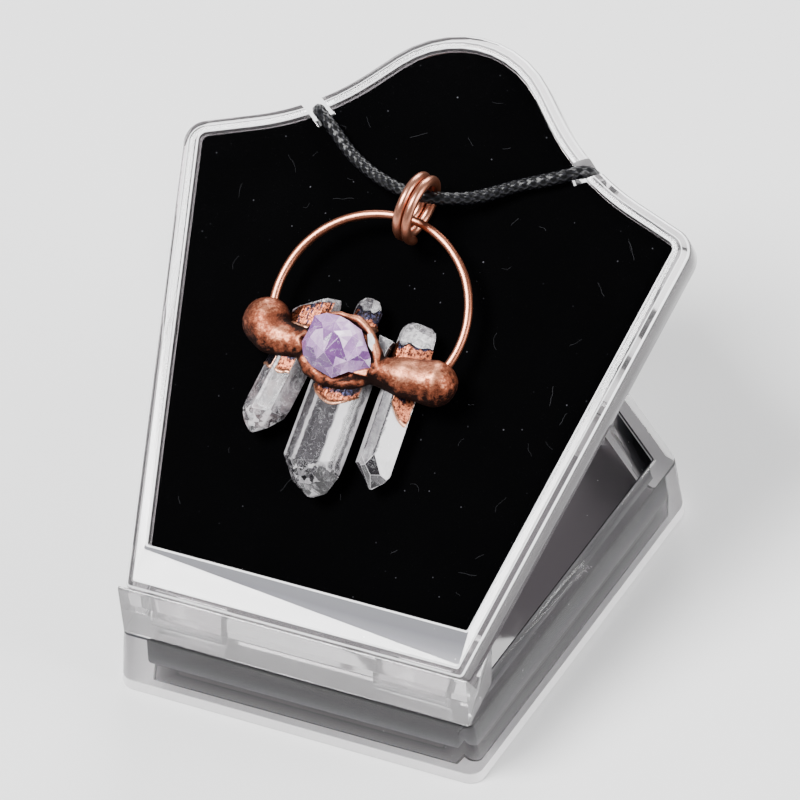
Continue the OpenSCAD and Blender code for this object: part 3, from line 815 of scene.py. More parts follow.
# Rim round the amethyst: [direction in degrees from the stone's middle, thickness, height w, how far out]
BEZEL = np.array([
    [-180, 0.35, 1.4, 0.3], [-150, 0.6, 1.7, 0.35], [-90, 0.6, 1.8, 0.35], [-60, 0.6, 1.8, 0.35],
    [-35, 0.7, 2.2, 0.5], [-10, 0.66, 2.7, 0.85], [25, 0.66, 3.0, 1.15], [55, 0.66, 3.1, 1.1],
    [80, 0.6, 3.0, 0.75], [105, 0.45, 2.7, 0.45], [130, 0.25, 2.0, 0.3], [160, 0.25, 1.6, 0.3],
    [180, 0.35, 1.4, 0.3]])
# The thick lip under the stone, from the left round to the square bead
LIP_R = 1.05
LIP = [
    (-7.2, -9.4, 1.5), (-5.9, -11.1, 1.6), (-3.2, -12.1, 1.7), (0.2, -12.2, 1.7), (2.5, -11.1, 1.8),
    (3.6, -9.8, 1.8)]
BEAD_AT, BEAD_HALF, BEAD_ROUND = [2.7, -9.9, 2.9], [0.75, 0.4, 0.4], 0.3
# Bumps of its skin: [height, how many to the mm, seed]
BUMPS = [(0.11, 0.42, 1), (0.03, 1.3, 2), (0.014, 3.3, 3)]


def round_stone(flat):
    """Direction from the amethyst's middle, in radians."""
    return np.arctan2(flat[:, 1] - STONE_MIDDLE[1], flat[:, 0] - STONE_MIDDLE[0])


def copper_body(p):
    """Distance to the bulb, band, setting and bezel."""
    flat, w = p[:, :2], p[:, 2]
    bulb = np.linalg.norm((p - BULB_AT) * [1.0, 0.98, 1.0], axis=1) - BULB_R
    left = smin(bulb, sd_cone(p, *NECK), 0.9)
    right = smin(sd_cone(p, *CLUB_NECK), sd_cone(p, *CLUB), 1.0)
    pillow = np.sqrt(np.maximum(sd_polygon(flat, SETTING), 0) ** 2 + (w - 1.1) ** 2) - 1.6
    under = np.linalg.norm((p - [*STONE_MIDDLE, -0.6]) * [0.62, 0.75, 1.0], axis=1) - 2.8
    body = smin(smin(smin(pillow, under, 1.5), left, 0.8), right, 0.8)
    girdle = sd_polygon(flat, AMETHYST)
    angle = np.degrees(round_stone(flat))
    thick, high, out = (np.interp(angle, BEZEL[:, 0], BEZEL[:, k]) for k in (1, 2, 3))
    thick = thick + 0.06 * np.sin(np.radians(7 * angle))
    ring = np.sqrt((girdle - out) ** 2 + (0.75 * (w - high)) ** 2) - thick
    lip = np.min([sd_cone(p, a, b, LIP_R, LIP_R) for a, b in zip(LIP, LIP[1:])], axis=0)
    bead = np.max(np.abs(p - BEAD_AT) - BEAD_HALF, axis=1) - BEAD_ROUND
    body = smin(smin(smin(body, lip, 0.4), ring, 0.4), bead, 0.3)
    for height, scale, seed in BUMPS:
        body = body + height * value_noise(p, scale, seed)
    cut = np.maximum(girdle + 1.4 * np.clip((3.5 - w) / 1.1, 0, 1) - 0.02, 2.3 - w)
    return -smin(-body, cut, 0.2)


def surface_net(field, low, high, step, reach=3):
    """Mesh of the surface where a field is zero, and how hollow the surface is at each point."""
    axes = [np.arange(a, b + step, step) for a, b in zip(low, high)]
    layers = np.stack(np.meshgrid(*axes, indexing="ij"), -1)
    values = np.array([field(layer.reshape(-1, 3)).reshape(layer.shape[:2]) for layer in layers])
    cells = [n - 1 for n in values.shape]
    total, count = np.zeros((*cells, 3)), np.zeros(cells)
    crossings = []
    for axis in range(3):
        others = [k for k in range(3) if k != axis]
        a, b = np.delete(values, -1, axis), np.delete(values, 0, axis)
        cross = (a < 0) != (b < 0)
        t = np.where(cross, a / np.where(cross, a - b, 1), 0)
        for shift in np.ndindex(2, 2):
            part = [slice(None)] * 3
            for k, d in zip(others, shift):
                part[k] = slice(d, d + cells[k])
            part = tuple(part)
            total[..., axis] += t[part]
            for k, d in zip(others, shift):
                total[..., k] += d * cross[part]
            count += cross[part]
        crossings.append((axis, others, np.argwhere(cross), a[cross] < 0))
    active = count > 0
    index = np.full(cells, -1)
    index[active] = np.arange(active.sum())
    where = np.argwhere(active)
    verts = (where + total[active] / count[active][:, None]) * step + [a[0] for a in axes]
    faces = []
    for axis, (j, k), at, inside in crossings:
        ok = (at[:, j] > 0) & (at[:, j] < cells[j]) & (at[:, k] > 0) & (at[:, k] < cells[k])
        at, inside = at[ok], inside[ok]
        quad = []
        for shift in ((-1, -1), (0, -1), (0, 0), (-1, 0)):
            corner = at.copy()
            corner[:, (j, k)] += shift
            quad.append(index[tuple(corner.T)])
        quad = np.stack(quad, -1)
        back = inside == (axis == 1)
        quad[back] = quad[back][:, ::-1]
        faces.append(quad)
    bend = sum(np.roll(values, reach, n) + np.roll(values, -reach, n) - 2 * values for n in range(3))
    return verts, np.concatenate(faces), bend[tuple(where.T)] / (reach * step) ** 2


# Places where the copper is darker, or paler with a painted highlight where the depth is negative: [[a, b,
# w], reach, depth]
DARK_SPOTS_AND_HIGHLIGHTS = [
    ([-15.8, -4.6, 2.0], 3.6, 0.14), ([-11.4, -7.2, 3.0], 1.5, -0.16), ([10.5, -8.3, 3.4], 2.8, -0.12),
    ([-5.6, -11.2, 1.8], 1.5, 0.26), ([-2.6, -12.6, 1.9], 1.7, 0.28), ([0.8, -12.7, 1.9], 1.7, 0.28),
    ([6.4, -11.0, 1.4], 1.5, 0.2), ([-9.6, -4.4, 2.0], 2.1, 0.75), ([-7.6, -4.2, 1.6], 1.5, 0.6),
    ([4.6, -7.4, 2.2], 1.3, 0.45), ([4.4, -10.6, 1.6], 1.5, 0.4), ([-7.2, -10.4, 0.8], 1.6, 0.3),
    ([0.5, -12.8, 1.0], 2.2, 0.25), ([7.5, -11.6, 0.0], 1.8, 0.3), ([14.8, -5.0, -0.2], 0.9, 0.35),
    ([-13.2, -1.8, -1.2], 1.6, 0.3)]
BAND_BOX = (-19.4, -14.2, -4.6), (17.4, 1.2, 5.0)
BAND_STEP = 0.17


def light_facing(obj):
    """How far each point faces out and up the slope, from 0 to 1: painted light there, painted shade where it
    faces down and away.
    """
    normals = np.array([v.vector for v in obj.data.vertex_normals])
    return np.clip(0.35 + 0.65 * (normals @ (0.93 * PANEL_NORMAL + 0.36 * UP_SLOPE)), 0, 1)


def make_band():
    """The bulb, band, setting, rim and lip as one skin, dark in its crevices and round the stone, with
    painted light where it faces up and out and painted shade underneath.
    """
    verts, faces, hollow = surface_net(copper_body, *BAND_BOX, BAND_STEP)
    obj = link("copper_band", at_pendant(verts), faces, copper("aged_copper"), "pendant")
    beside = np.clip(1.6 - np.abs(sd_polygon(verts[:, :2], AMETHYST)), 0, 1)
    near_stone = beside * np.clip(verts[:, 2] / 2, 0, 1)
    # Painted light where the skin faces up and out and painted shade underneath; paler on its bulges and
    # darker in its hollows
    wear_and_light = -0.04 + 0.74 * light_facing(obj) ** 1.4 + np.clip(hollow - 0.6, -0.6, 0.5) * 0.35
    wear_and_light = wear_and_light - near_stone * (0.12 + 0.08 * np.clip(np.sin(round_stone(verts)), 0, 1))
    for at, reach, depth in DARK_SPOTS_AND_HIGHLIGHTS:
        wear_and_light = wear_and_light - depth * np.exp(-np.sum((verts - at) ** 2, 1) / reach ** 2)
    set_attribute(obj, "wear_and_light", wear_and_light)
    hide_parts("copper_frame")


HOOP_R, HOOP_WIRE_R, WIRE_SIDES = 15.2, 0.69, 20


def make_hoop():
    """The hoop's wire: nearly round, a little wavy, with its ends sunk in the band and the bulb."""
    a = np.radians(np.linspace(-27, 197, 260))
    rng = np.random.default_rng(7)
    out = HOOP_R + np.interp(a, np.linspace(a[0], a[-1], 16), rng.standard_normal(16)) * 0.06
    line = np.stack([out * np.cos(a), out * np.sin(a), np.zeros_like(a)], -1)
    around = np.arange(WIRE_SIDES) * 2 * np.pi / WIRE_SIDES
    thick = HOOP_WIRE_R + 0.02 * np.interp(a, np.linspace(a[0], a[-1], 30), rng.standard_normal(30))
    radius = thick[:, None] * (1 - 0.05 * np.cos(2 * around)[None, :] ** 2)
    verts, faces = tube(line, radius, WIRE_SIDES)
    obj = link("hoop_wire", at_pendant(verts), faces, WIRE, "pendant")
    ends = np.clip(np.minimum(a - a[0], a[-1] - a) / 0.16, 0, 1)
    # Painted highlight lines along the wire, painted light where it faces up and out, and darker ends where
    # it enters the band and the bulb
    highlight_lines = 0.12 * np.cos(3 * around + 0.6)[None, :] + np.zeros((len(a), 1))
    set_attribute(obj, "wear_and_light", 0.30 + 0.28 * light_facing(obj) + (highlight_lines - 0.45 * (1 - ends[:, None])).ravel())


# Bail: middle of the coil on the panel, its turn on it and the place of its first end in degrees, its sizes
BAIL_AT, BAIL_TURN, BAIL_START = np.array([0, 66.25, 4.75]), -12, -60
BAIL_R, BAIL_WIRE, BAIL_STEPS = 4.75, 1.5, 90


def make_bail():
    """A coil of two turns whose cut ends are rounded over."""
    i = np.arange(2 * BAIL_STEPS + 1)
    angle = np.radians(BAIL_START + 360 * i / BAIL_STEPS)
    along = (BAIL_WIRE + 0.05) * (i / BAIL_STEPS - 1)
    line = np.stack([along, BAIL_R * np.sin(angle), -BAIL_R * np.cos(angle)], -1)
    turn = np.array(Matrix.Rotation(math.radians(BAIL_TURN), 3, "Z"))
    line = on_panel(line @ turn.T + BAIL_AT)
    end = np.minimum(i, i[::-1]) / BAIL_STEPS * 2 * np.pi * BAIL_R
    rng = np.random.default_rng(3)
    radius = BAIL_WIRE / 2 * (1 + 0.02 * np.interp(i, np.linspace(0, i[-1], 24), rng.standard_normal(24)))
    radius = radius * np.sqrt(np.clip(1 - (1 - np.clip(end / 0.6, 0, 1)) ** 2, 0.02, 1))
    verts, faces = tube(line, radius, WIRE_SIDES, (0.3, 0.5, 0.8))
    obj = link("bail_coil", verts, faces, WIRE, "bail")
    ends = np.repeat(np.clip(end / 1.5, 0, 1), WIRE_SIDES)
    # Painted light where the wire faces up and out, darker cut ends, and a little uneven tone
    wear_and_light = 0.32 + 0.40 * light_facing(obj) - 0.3 * (1 - ends) + 0.10 * value_noise(verts, 0.8, 8)
    set_attribute(obj, "wear_and_light", wear_and_light)
    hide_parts("bail")


# Crystals, in mm: tip is the place of the pointed end, point its length and shift how far it leans over.
# edges are the directions of the prism's edges in degrees, drop how far up each ends in parts of the point.
# blunt is a ring near the tip: [part of the point, scale]. top is the stub's outline: [mm below it, scale].
# turned is how far the front faces turn to the left, as a slope. tones are the greys of painted light and
# shade on the prism's faces from the right front one round, tip_tones those of the point, and pale is how far
# down the top is pale.
QUARTZ = {
    "left": SimpleNamespace(
        tip=(-12.2, -22.1, -1.6), length=22.6, lean=10, width=7, thick=5.7, point=3.4, shift=-0.5,
        edges=[0, 60, 112, 176, 236, 300], drop=[1.2, 1.1, 0.9, 0.78, 0.8, 1], blunt=(0.4, 0.56), turned=0.2,
        top=[(4.0, 1.0), (-0.2, 1.0), (-1.2, 0.8)],
        tones=[0.56, 0.52, 0.50, 0.40, 0.45, 0.50], tip_tones=(0.35, 1.0), pale=2.6, chips=9, seed=1,
        cuts=[((0, 21.9, 0), (-0.55, 0.83, 0.05)), ((3.3, 21.5, 0), (1, 0.25, 0)),
              ((-1.2, 1.3, 2.2), (-0.5, -0.9, 0.6)), ((1.9, 2.1, 1.6), (0.8, -0.55, 0.5))],
        look=dict(
            name="quartz_milky", clear=0.45, rough=0.12, clouds=1.3, flecks=0.85, pink=0.35, broken=3.0,
            top=20.0),
        strips=[
            (-3.4, 0.2), (-3.0, -0.1), (-1.5, 0.0), (-1.2, 0.35), (-0.9, 0.3), (-0.6, -0.05), (1.6, 0.0),
            (1.9, 0.2), (2.3, 0.05)]),
    "centre": SimpleNamespace(
        tip=(-2, -29.4, -1.3), length=31.6, lean=2.5, width=9.6, thick=6.4, point=4.8, shift=1.4,
        edges=[2, 64, 121, 180, 242, 300], drop=[0.85, 1.1, 0.9, 1.08, 0.8, 1], blunt=(0.33, 0.62),
        turned=0.24,
        top=[(11.5, 1.0), (7.5, 0.5), (2.2, 0.43), (0.9, 0.39), (0.2, 0.26), (0.0, 0.12)],
        tones=[0.66, 0.42, 0.52, 0.40, 0.35, 0.50], tip_tones=(0.2, 1.0), pale=4, chips=16, seed=2,
        cuts=[((2.9, 2.6, 2.1), (0.62, -0.55, 0.55)), ((3.6, 4.6, 1.4), (0.75, -0.3, 0.6)),
              ((-0.3, 1.4, 2.2), (-0.15, -0.8, 0.6)), ((3.4, 6.5, 1.9), (0.8, -0.1, 0.6)),
              ((-4.3, 5.2, 1.0), (-0.9, -0.3, 0.4))],
        look=dict(
            name="quartz_clear", clear=0.60, streaks=0.3, clouds=0.35, flecks=0.55, broken=4.2, top=28.5),
        strips=[
            (-4.7, 0.35), (-4.3, 0.3), (-4.0, -0.3), (-3.5, -0.1), (-2.9, 0.0), (-2.6, 0.42), (-2.1, 0.42),
            (-1.9, -0.08), (-0.6, 0.0), (1.7, -0.06), (2.05, 0.42), (2.9, 0.42), (3.2, 0.0), (3.6, -0.3),
            (3.8, 0.2), (4.2, -0.35), (4.5, 0.3)]),
    "right": SimpleNamespace(
        tip=(7.4, -25.9, -1.7), length=25.9, lean=1.2, width=6, thick=5.4, point=3.2, shift=0.6,
        edges=[5, 84, 124, 182, 240, 300], drop=[0.55, 0.9, 1.0, 1.05, 0.8, 0.6], blunt=(0.5, 0.5), turned=0,
        top=[(3.4, 1.0), (1.5, 0.97), (0.6, 0.86), (0.1, 0.62), (0.0, 0.4)],
        tones=[0.92, 0.58, 0.84, 0.40, 0.35, 0.60], tip_tones=(0.12, 0.42), pale=2.6, chips=6, seed=3,
        cuts=[((0.2, 1.0, 1.8), (-0.35, -0.8, 0.5)), ((-0.96, 3.13, 2.6), (0.33, -0.28, 0.9))],
        look=dict(name="quartz_bright", clear=0.45, streaks=0.2, clouds=0.35, flecks=0.4, top=21.0),
        strips=[
            (-2.9, 0.1), (-2.3, 0.16), (-1.75, 0.1), (-1.6, -0.45), (-1.4, 0.0), (-0.6, 0.03), (0.0, 0.1),
            (0.15, -0.35), (0.35, -0.45), (0.55, 0.1), (2.9, 0.1)]),
}
# Painted light: the tone of a painted reflection on the right crystal's right-facing tip faces, and of the
# painted highlight on the narrow edges
TIP_REFLECTION_TONE = 0.86
EDGE_HIGHLIGHT_TONE, TONE_SPREAD = 0.95, 0.05


def crystal_place(c, across, up, depth):
    """A point of a crystal, from its own directions to pendant coordinates."""
    lean = math.radians(c.lean)
    across, up, depth = (np.asarray(x, float) for x in (across, up, depth))
    return np.stack([c.tip[0] + across * math.cos(lean) + up * math.sin(lean),
                     c.tip[1] + up * math.cos(lean) - across * math.sin(lean), c.tip[2] + depth], -1)


def prism_corners(c, scale, shift=0.0):
    """Across and depth of the crystal's six edges."""
    angles = np.radians(c.edges)
    across = c.width / 2 * scale * np.cos(angles) + shift
    depth = c.thick / 2 * scale * np.sin(angles)
    return across, depth + c.turned * across * (np.sin(angles) > 0.1)


def section(c, t, scale=1.0):
    """Across and depth of the crystal's outline at t, from 0 to 6, where whole numbers are its edges."""
    t = np.asarray(t, float) % 6
    i = np.floor(t).astype(int) % 6
    f = t - np.floor(t)
    j = (i + 1) % 6
    return [x[i] * (1 - f) + x[j] * f for x in prism_corners(c, scale)]


def join_rings(bm, a, b):
    """Quads between the points of two rings."""
    for i in range(len(b)):
        j = (i + 1) % len(b)
        bm.faces.new([a[i], a[j], b[j], b[i]])


def triangulate_large(bm):
    bmesh.ops.triangulate(bm, faces=[f for f in bm.faces if len(f.verts) > 3])


def cut_away(bm, cuts):
    """Cuts a closed mesh off at planes [point, direction that goes], each time closed again."""
    for point, normal in cuts:
        geom = bm.verts[:] + bm.edges[:] + bm.faces[:]
        cut = bmesh.ops.bisect_plane(bm, geom=geom, plane_co=point, plane_no=normal, clear_outer=True)
        edges = [e for e in cut["geom_cut"] if isinstance(e, bmesh.types.BMEdge)]
        if edges:
            bmesh.ops.edgeloop_fill(bm, edges=edges)


def chip_corners(bm, rng, count, deep, keep):
    """Small broken places: planes that take off a little at random corners where keep says so."""
    for _ in range(6 * count):
        bm.normal_update()
        corners = [v for v in bm.verts if keep(v.co)]
        v = corners[rng.integers(len(corners))]
        normal = (v.normal + Vector(rng.normal(0, 0.35, 3))).normalized()
        point = v.co - normal * rng.uniform(*deep)
        if sum((other.co - point).dot(normal) > 0 for other in bm.verts) <= 2:
            cut_away(bm, [(point, normal)])
            count -= 1
        if not count:
            break


def stone_piece(name, bm, mat, tones, seed, place=lambda local: local, width=0.05, sharp_from=12):
    """Finishes a stone: narrow edges with a painted highlight, a grey for each facet, and the coordinates of
    its material.
    """
    rng = np.random.default_rng(seed)
    bmesh.ops.dissolve_limit(bm, angle_limit=math.radians(1.5), verts=bm.verts, edges=bm.edges)
    least = math.radians(sharp_from)
    sharp = [e for e in bm.edges if len(e.link_faces) == 2 and e.calc_face_angle(0) > least]
    made = bmesh.ops.bevel(
        bm, geom=sharp, offset=width, offset_type="OFFSET", segments=1, affect="EDGES", clamp_overlap=True)
    narrow = set(made["faces"])
    bmesh.ops.recalc_face_normals(bm, faces=bm.faces)
    bm.verts.index_update()
    values = []
    for f in bm.faces:
        jitter = rng.normal(0, TONE_SPREAD)
        values.append(jitter + (EDGE_HIGHLIGHT_TONE if f in narrow else tones(f.calc_center_median(), f.normal)))
    local = np.array([v.co for v in bm.verts])
    faces = [[v.index for v in f.verts] for f in bm.faces]
    bm.free()
    obj = link(name, at_pendant(place(local)), faces, mat, "pendant", smooth=False)
    set_attribute(obj, "tone", values, "FACE")
    set_attribute(obj, "local", local)
    return obj


def make_crystal(key):
    """Six prism faces, a pointed end with uneven and broken faces, and a stub at the top."""
    c = QUARTZ[key]
    rng = np.random.default_rng(c.seed)
    drop = np.array(c.drop) * c.point
    part, scale = c.blunt
    rings = [(0 * drop, 0.08, c.shift), (part * drop, scale, c.shift * (1 - part)), (drop, 1, 0)]
    rings += [(c.length - down + 0 * drop, scale, 0) for down, scale in c.top]
    bm = bmesh.new()
    rows = []
    for up, scale, shift in rings:
        across, depth = prism_corners(c, scale, shift)
        rows.append([bm.verts.new(p) for p in zip(across, up, depth)])
    for a, b in zip(rows, rows[1:]):
        join_rings(bm, a, b)
    bm.faces.new(rows[0][::-1])
    bm.faces.new(rows[-1])
    bmesh.ops.recalc_face_normals(bm, faces=bm.faces)
    triangulate_large(bm)
    cut_away(bm, c.cuts)
    chip_corners(bm, rng, c.chips, (0.12, 0.5), lambda p: p.y < c.point * 1.4 and p.z > -1)
    chip_corners(bm, rng, 5, (0.1, 0.35), lambda p: p.y > c.length - 3)

    def tones(at, normal):
        if at.y > c.length - c.pale:
            return 0.76 + rng.normal(0, 0.07)
        if at.y < c.point * 0.95 or abs(normal.y) > 0.35:
            return TIP_REFLECTION_TONE if key == "right" and normal.x >= 0.45 else rng.uniform(*c.tip_tones)
        # The prism faces get painted light or shade by the way each faces
        turn = math.degrees(math.atan2(normal.z, normal.x))
        middles = [(a + b) / 2 for a, b in zip(c.edges, c.edges[1:] + [c.edges[0] + 360])]
        gaps = [abs((turn - m + 180) % 360 - 180) for m in middles]
        return c.tones[int(np.argmin(gaps))]

    mat = stone(stops=GREYS, strips=c.strips, **c.look)
    obj = stone_piece("crystal_" + key, bm, mat, tones, c.seed,
                      lambda local: crystal_place(c, *local.T), width=0.09)
    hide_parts("quartz_" + key)


# A collar's skin from its lower edge to its upper one: [part of the way up, how thick it is there in mm]
COLLAR_SKIN = np.array([
    (0, -0.1), (0, 0.1), (0.012, 0.26), (0.04, 0.33), (0.08, 0.26), (0.12, 0.17), (0.18, 0.14),
    (0.28, 0.15), (0.4, 0.16), (0.52, 0.16), (0.64, 0.16), (0.76, 0.16), (0.88, 0.16), (0.96, 0.14),
    (1, 0.08), (1, -0.1)])
COLLAR_THICK = 0.16


def make_collar(name, key, t0, t1, low, high, seed, dark_from, thick=COLLAR_THICK, ragged=0.05, scale=1.0,
                lines=0):
    """A thin copper skin on a crystal from t0 to t1 round it, with uneven edges and a beaded lower rim."""
    c = QUARTZ[key]
    closed = t1 - t0 >= 6
    cols = int((t1 - t0) * 30) + (0 if closed else 1)
    t = np.linspace(t0, t1, cols, endpoint=not closed)
    rng = np.random.default_rng(seed)
    knots = max(6, cols // 3)
    rough = np.interp(np.arange(cols), np.linspace(0, cols, knots), rng.standard_normal(knots))
    low = (low(t) if callable(low) else low) + ragged * rough
    high = high(t) if callable(high) else high
    x, y = section(c, t, scale)
    norm = np.hypot(x / c.width, y / c.thick)
    corner = np.abs((t % 1) - 0.5) * 2
    fade = 1.0 if closed else np.clip(np.minimum(t - t0, t1 - t) / 0.06, 0, 1) ** 0.5
    up = COLLAR_SKIN[:, 0]
    verts = []
    for part, grow in zip(up, COLLAR_SKIN[:, 1] / COLLAR_THICK * thick):
        out = (grow - 0.3 * corner ** 4 * abs(grow)) * fade - 0.06 * (1 - fade)
        out = out + 0.025 * rng.standard_normal(cols) * (0.15 < part < 0.99)
        verts.append(crystal_place(
            c, x + out * x / c.width / norm, low + (high - low) * part, y + out * y / c.thick / norm))
    faces = grid_faces(len(up), cols, closed)
    obj = link(name, at_pendant(np.concatenate(verts)), faces, FOIL, "pendant")
    crisp(obj, 50)
    t_all, up_all = np.tile(t, len(up)), np.repeat(up, cols)
    dark = np.clip((up_all - dark_from) * 1.8 + 0.3, 0, 1) + 0.18 * np.sin(t_all * 5 + seed)
    slanted = lines * (t_all + 0.35 * up_all + 0.15 * np.sin(9 * up_all))
    on_line = np.abs(slanted % 1 - 0.5) < 0.09 * (lines > 0)
    set_attribute(obj, "dark", dark + 0.9 * on_line)
    side = np.zeros(cols) if closed else np.clip(1 - np.minimum(t - t0, t1 - t) / 0.10, 0, 1)
    set_attribute(obj, "rim", np.maximum(np.where(up_all < 0.1, 0.8, 0.0), 0.7 * np.tile(side, len(up))))


def make_collars():
    """The seven foil collars: where round and up the crystal each lies, edge by edge."""
    def right_edge(t):
        slanted = 3.1 * np.clip((t - 0.14) / 0.92, 0, 1) ** 1.8
        return 10.2 + slanted + 2.2 * np.clip((0.14 - t) / 0.12, 0, 1) ** 0.8

    make_collar("collar_left", "left", 1.0, 1.86, lambda t: 9.7 + 0.25 * np.sin(7 * t), 14.5, 1, 0.45)
    make_collar("collar_left_side", "left", 2.14, 3.6, lambda t: 9.9 + 0.2 * np.sin(5 * t), 14.5, 2, 0.0)
    make_collar("collar_left_top", "left", 0.5, 3.1,
                17.2, lambda t: 22.2 - 1.6 * (t - 1) + 0.12 * np.sin(t * 6), 6, 0.95, lines=2.2)
    make_collar("collar_centre", "centre", 0.38, 2.44,
                lambda t: 13.8 + 2.6 * np.abs((t - 1.39) / 1.03) ** 1.6, 18.4, 3, 0.28, ragged=0.01)
    make_collar("collar_centre_top", "centre", -0.8, 2.4,
                27, lambda t: 29.6 + 0.35 * np.cos(t * 2.6) + 0.2 * np.sin(t * 7), 7, 0.3,
                thick=0.3, ragged=0.1, scale=0.44)
    make_collar("collar_right", "right", 0.02, 1.06, right_edge, 15.6, 4, 0.6, ragged=0.01)
    make_collar("collar_right_top", "right", 0, 6, lambda t: 19.2 + 0.2 * np.sin(t * 3),
                lambda t: 22.3 + 0.5 * np.sin(t * 4.1 + 1) * np.cos(t * 1.7), 5, 0.8)


# Amethyst's broken front: [a, b, w], first its outline from the left corner round, then the corners inside
STONE_RIM = [
    (-7.6, -7.8, 3.4), (-7.0, -6.0, 3.9), (-6.9, -3.5, 3.6), (-5.2, -2.6, 3.5), (-3.0, -2.6, 3.7),
    (-1.4, -3.0, 3.8), (0.9, -3.9, 3.6), (2.3, -5.9, 3.6), (3.6, -7.7, 3.5), (3.9, -9.1, 3.2),
    (2.2, -10.3, 3.2), (0.9, -10.5, 3.6), (-1.4, -12.0, 3.3), (-5.0, -11.0, 3.2), (-6.8, -9.7, 3.2)]
STONE_CORNERS = [
    (-2.5, -5.6, 5.9), (-2.9, -9.0, 5.9), (-1.2, -6.2, 6.3), (-2.8, -4.0, 5.1), (-5.2, -4.4, 4.3),
    (0.8, -9.3, 5.3), (2.1, -8.3, 5.2), (0.4, -5.5, 5.4), (3.0, -8.4, 4.1), (-6.0, -7.1, 5.1),
    (-1.2, -10.5, 4.8), (-4.2, -9.9, 4.7), (1.3, -6.8, 4.9), (-4.4, -5.4, 5.4), (-0.4, -4.5, 4.6)]
STONE_FOOT, STONE_FOOT_SCALE, STONE_FRONT = 2.4, 0.8, 3.9
# How pale its facets are, partly their own colour and partly painted light, glints and shade: [a, b, tone]
FACET_TONES_AND_LIGHT = np.array([
    [-5.0, -7.2, 0.86], [-4.0, -8.2, 0.80], [-5.9, -4.9, 0.42], [-4.6, -3.6, 0.66], [-2.9, -4.6, 0.60],
    [-1.4, -4.2, 0.78], [-0.6, -5.4, 1.0], [0.4, -4.5, 0.72], [-1.9, -7.2, 0.40], [-0.9, -8.6, 0.34],
    [0.6, -7.4, 0.62], [1.9, -6.6, 0.74], [2.9, -8.1, 0.26], [2.4, -9.4, 0.66], [0.4, -9.9, 0.84],
    [-1.2, -11.2, 0.52], [-3.2, -10.4, 0.34], [-5.6, -10.0, 0.30], [-6.9, -8.4, 0.5]])


def make_amethyst():
    """A broken lump: uneven facets meeting at given corners, with chipped edges, over a plain foot."""
    rng = np.random.default_rng(12)
    points = STONE_RIM + STONE_CORNERS
    n = len(STONE_RIM)
    outline = [(i, (i + 1) % n) for i in range(n)]
    triangles = delaunay_2d_cdt([Vector(p[:2]) for p in points], outline, [], 1, 1e-5)[2]
    bm = bmesh.new()
    top = [bm.verts.new(p) for p in points]
    foot = []
    for p in STONE_RIM:
        a, b = (middle + (x - middle) * STONE_FOOT_SCALE for x, middle in zip(p, STONE_MIDDLE))
        foot.append(bm.verts.new((a, b, STONE_FOOT)))
    for tri in triangles:
        bm.faces.new([top[i] for i in tri])
    join_rings(bm, top[:n], foot)
    bm.faces.new(foot)
    bmesh.ops.recalc_face_normals(bm, faces=bm.faces)
    triangulate_large(bm)
    long = [e for e in bm.edges if e.calc_length() > 2.2 and e.verts[0].co.z + e.verts[1].co.z > 6.2]
    bmesh.ops.subdivide_edges(bm, edges=long, cuts=1)
    bmesh.ops.triangulate(bm, faces=bm.faces)
    for v in bm.verts:
        if v.co.z > STONE_FRONT:
            v.co.z += rng.normal(0, 0.13)
    chip_corners(bm, rng, 16, (0.04, 0.16), lambda p: p.z > STONE_FRONT)

    def tones(at, normal):
        d = (FACET_TONES_AND_LIGHT[:, 0] - at.x) ** 2 + (FACET_TONES_AND_LIGHT[:, 1] - at.y) ** 2
        # Facets that face up get painted lighter
        return FACET_TONES_AND_LIGHT[int(np.argmin(d)), 2] - 0.1 + 0.15 * normal.y

    violet = stone("amethyst", VIOLETS, 0.22, rough=0.10, streaks=0.25, clouds=0.4, flecks=0.35)
    obj = stone_piece("amethyst_lump", bm, violet, tones, 5, sharp_from=20)
    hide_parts("amethyst")


def make_chip(name, low, corners, tone, seed):
    """A small sliver of stone: a polygon of corners [a, b, w] drawn down to a height, with broken edges."""
    bm = bmesh.new()
    top = [bm.verts.new(p) for p in corners]
    foot = [bm.verts.new((a, b, low)) for a, b, _ in corners]
    join_rings(bm, top, foot)
    bm.faces.new(top[::-1])
    bm.faces.new(foot)
    triangulate_large(bm)
    bmesh.ops.recalc_face_normals(bm, faces=bm.faces)
    chip_corners(bm, np.random.default_rng(seed), 3, (0.05, 0.15), lambda p: p.z > low + 0.2)
    stone_piece(name, bm, SILVER, lambda at, normal: tone, seed)


def make_chips():
    """The bright chip and the grey sliver of stone beside the amethyst."""
    # The chip's near-white tone is painted reflection
    make_chip("mirror_chip", 2.4, [
        (2.2, -4.4, 4.3), (2.7, -4.1, 4.1), (3.4, -4.9, 3.9), (3.9, -6.4, 3.6), (3.6, -6.8, 3.7),
        (2.8, -6.0, 4.2)],
        tone=0.95, seed=8)
    make_chip("crystal_sliver", -1.2, [
        (2.9, -3.4, 0.9), (5.2, -3.8, 0.6), (4.7, -4.8, 0.6), (4.5, -6.4, 0.7), (3.4, -6.3, 0.9)],
        tone=0.48, seed=9)


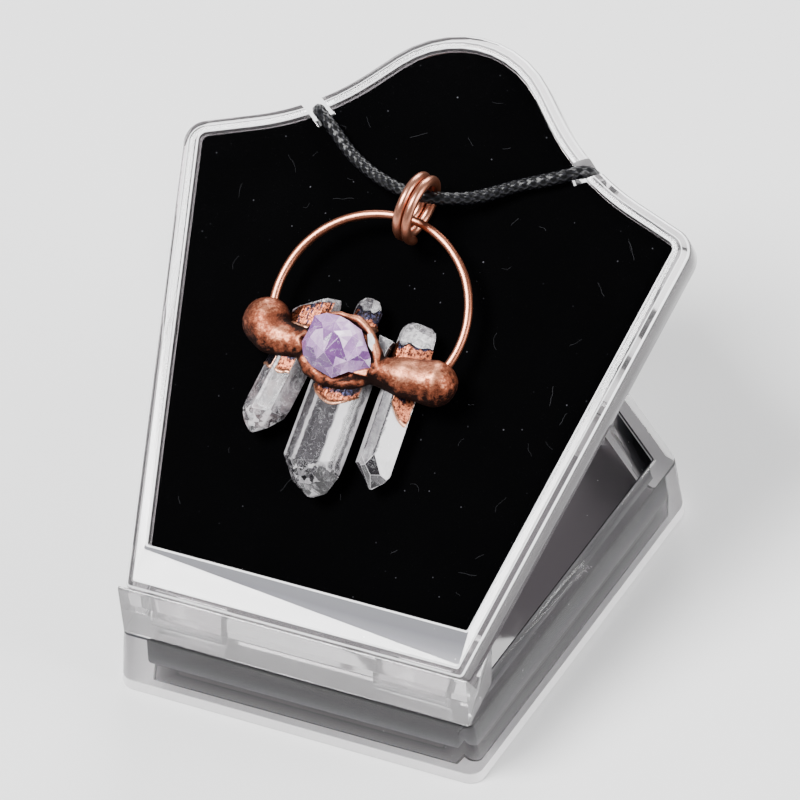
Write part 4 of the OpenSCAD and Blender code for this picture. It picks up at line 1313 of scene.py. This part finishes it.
def set_material(node, mat):
    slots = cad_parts[node].data.materials
    slots.clear()
    slots.append(mat)


def make_pins_and_bar():
    """The hinge bar and its pins keep their solids, with softened edges."""
    for node, mat in (("hinge_bar", BAR), ("hinge_pin_left", ACRYLIC), ("hinge_pin_right", ACRYLIC)):
        set_material(node, mat)
        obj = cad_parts[node]
        weld = obj.modifiers.new("weld", "WELD")
        weld.merge_threshold = 0.01 * MM
        edges = obj.modifiers.new("edges", "BEVEL")
        edges.width, edges.segments = 0.2 * MM, 2
        edges.limit_method, edges.angle_limit = "ANGLE", math.radians(35)


def area_lamp(name, at, size, power, to=(0, 0, 0.03)):
    """A rectangular lamp, in metres and watts, that faces the pendant."""
    data = bpy.data.lights.new(name, "AREA")
    data.shape = "RECTANGLE"
    data.size, data.size_y = size
    data.energy = power
    lamp = bpy.data.objects.new(name, data)
    lamp.location = at
    lamp.rotation_euler = (Vector(to) - Vector(at)).to_track_quat("-Z", "Y").to_euler()
    scene.collection.objects.link(lamp)


def stage_and_lights():
    """Plain pale floor, soft studio light."""
    bpy.ops.mesh.primitive_plane_add(size=6, location=(0, 0, -0.03 * MM))
    floor = bpy.context.object
    floor.name = "floor"
    n = Nodes("floor")
    n.set(Base_Color=(0.80, 0.80, 0.80, 1), Roughness=0.6, Specular_IOR_Level=0.2)
    floor.data.materials.append(n.mat)
    scene.world = bpy.data.worlds.new("world")
    scene.world.use_nodes = True
    sky = scene.world.node_tree.nodes["Background"].inputs
    sky["Color"].default_value = (0.92, 0.94, 0.97, 1)
    sky["Strength"].default_value = 0.31
    area_lamp("key", (-0.30, -0.30, 0.75), (0.35, 0.35), 17)
    area_lamp("right", (0.75, 0.05, 0.35), (0.4, 0.5), 9.5)
    area_lamp("back", (-0.1, 0.75, 0.45), (0.6, 0.3), 8)


make_camera()
make_tray()
make_panel()
make_pins_and_bar()
make_velvet()
make_lint()
make_bail()
make_band()
make_hoop()
make_amethyst()
for crystal in QUARTZ:
    make_crystal(crystal)
make_collars()
make_chips()
stage_and_lights()
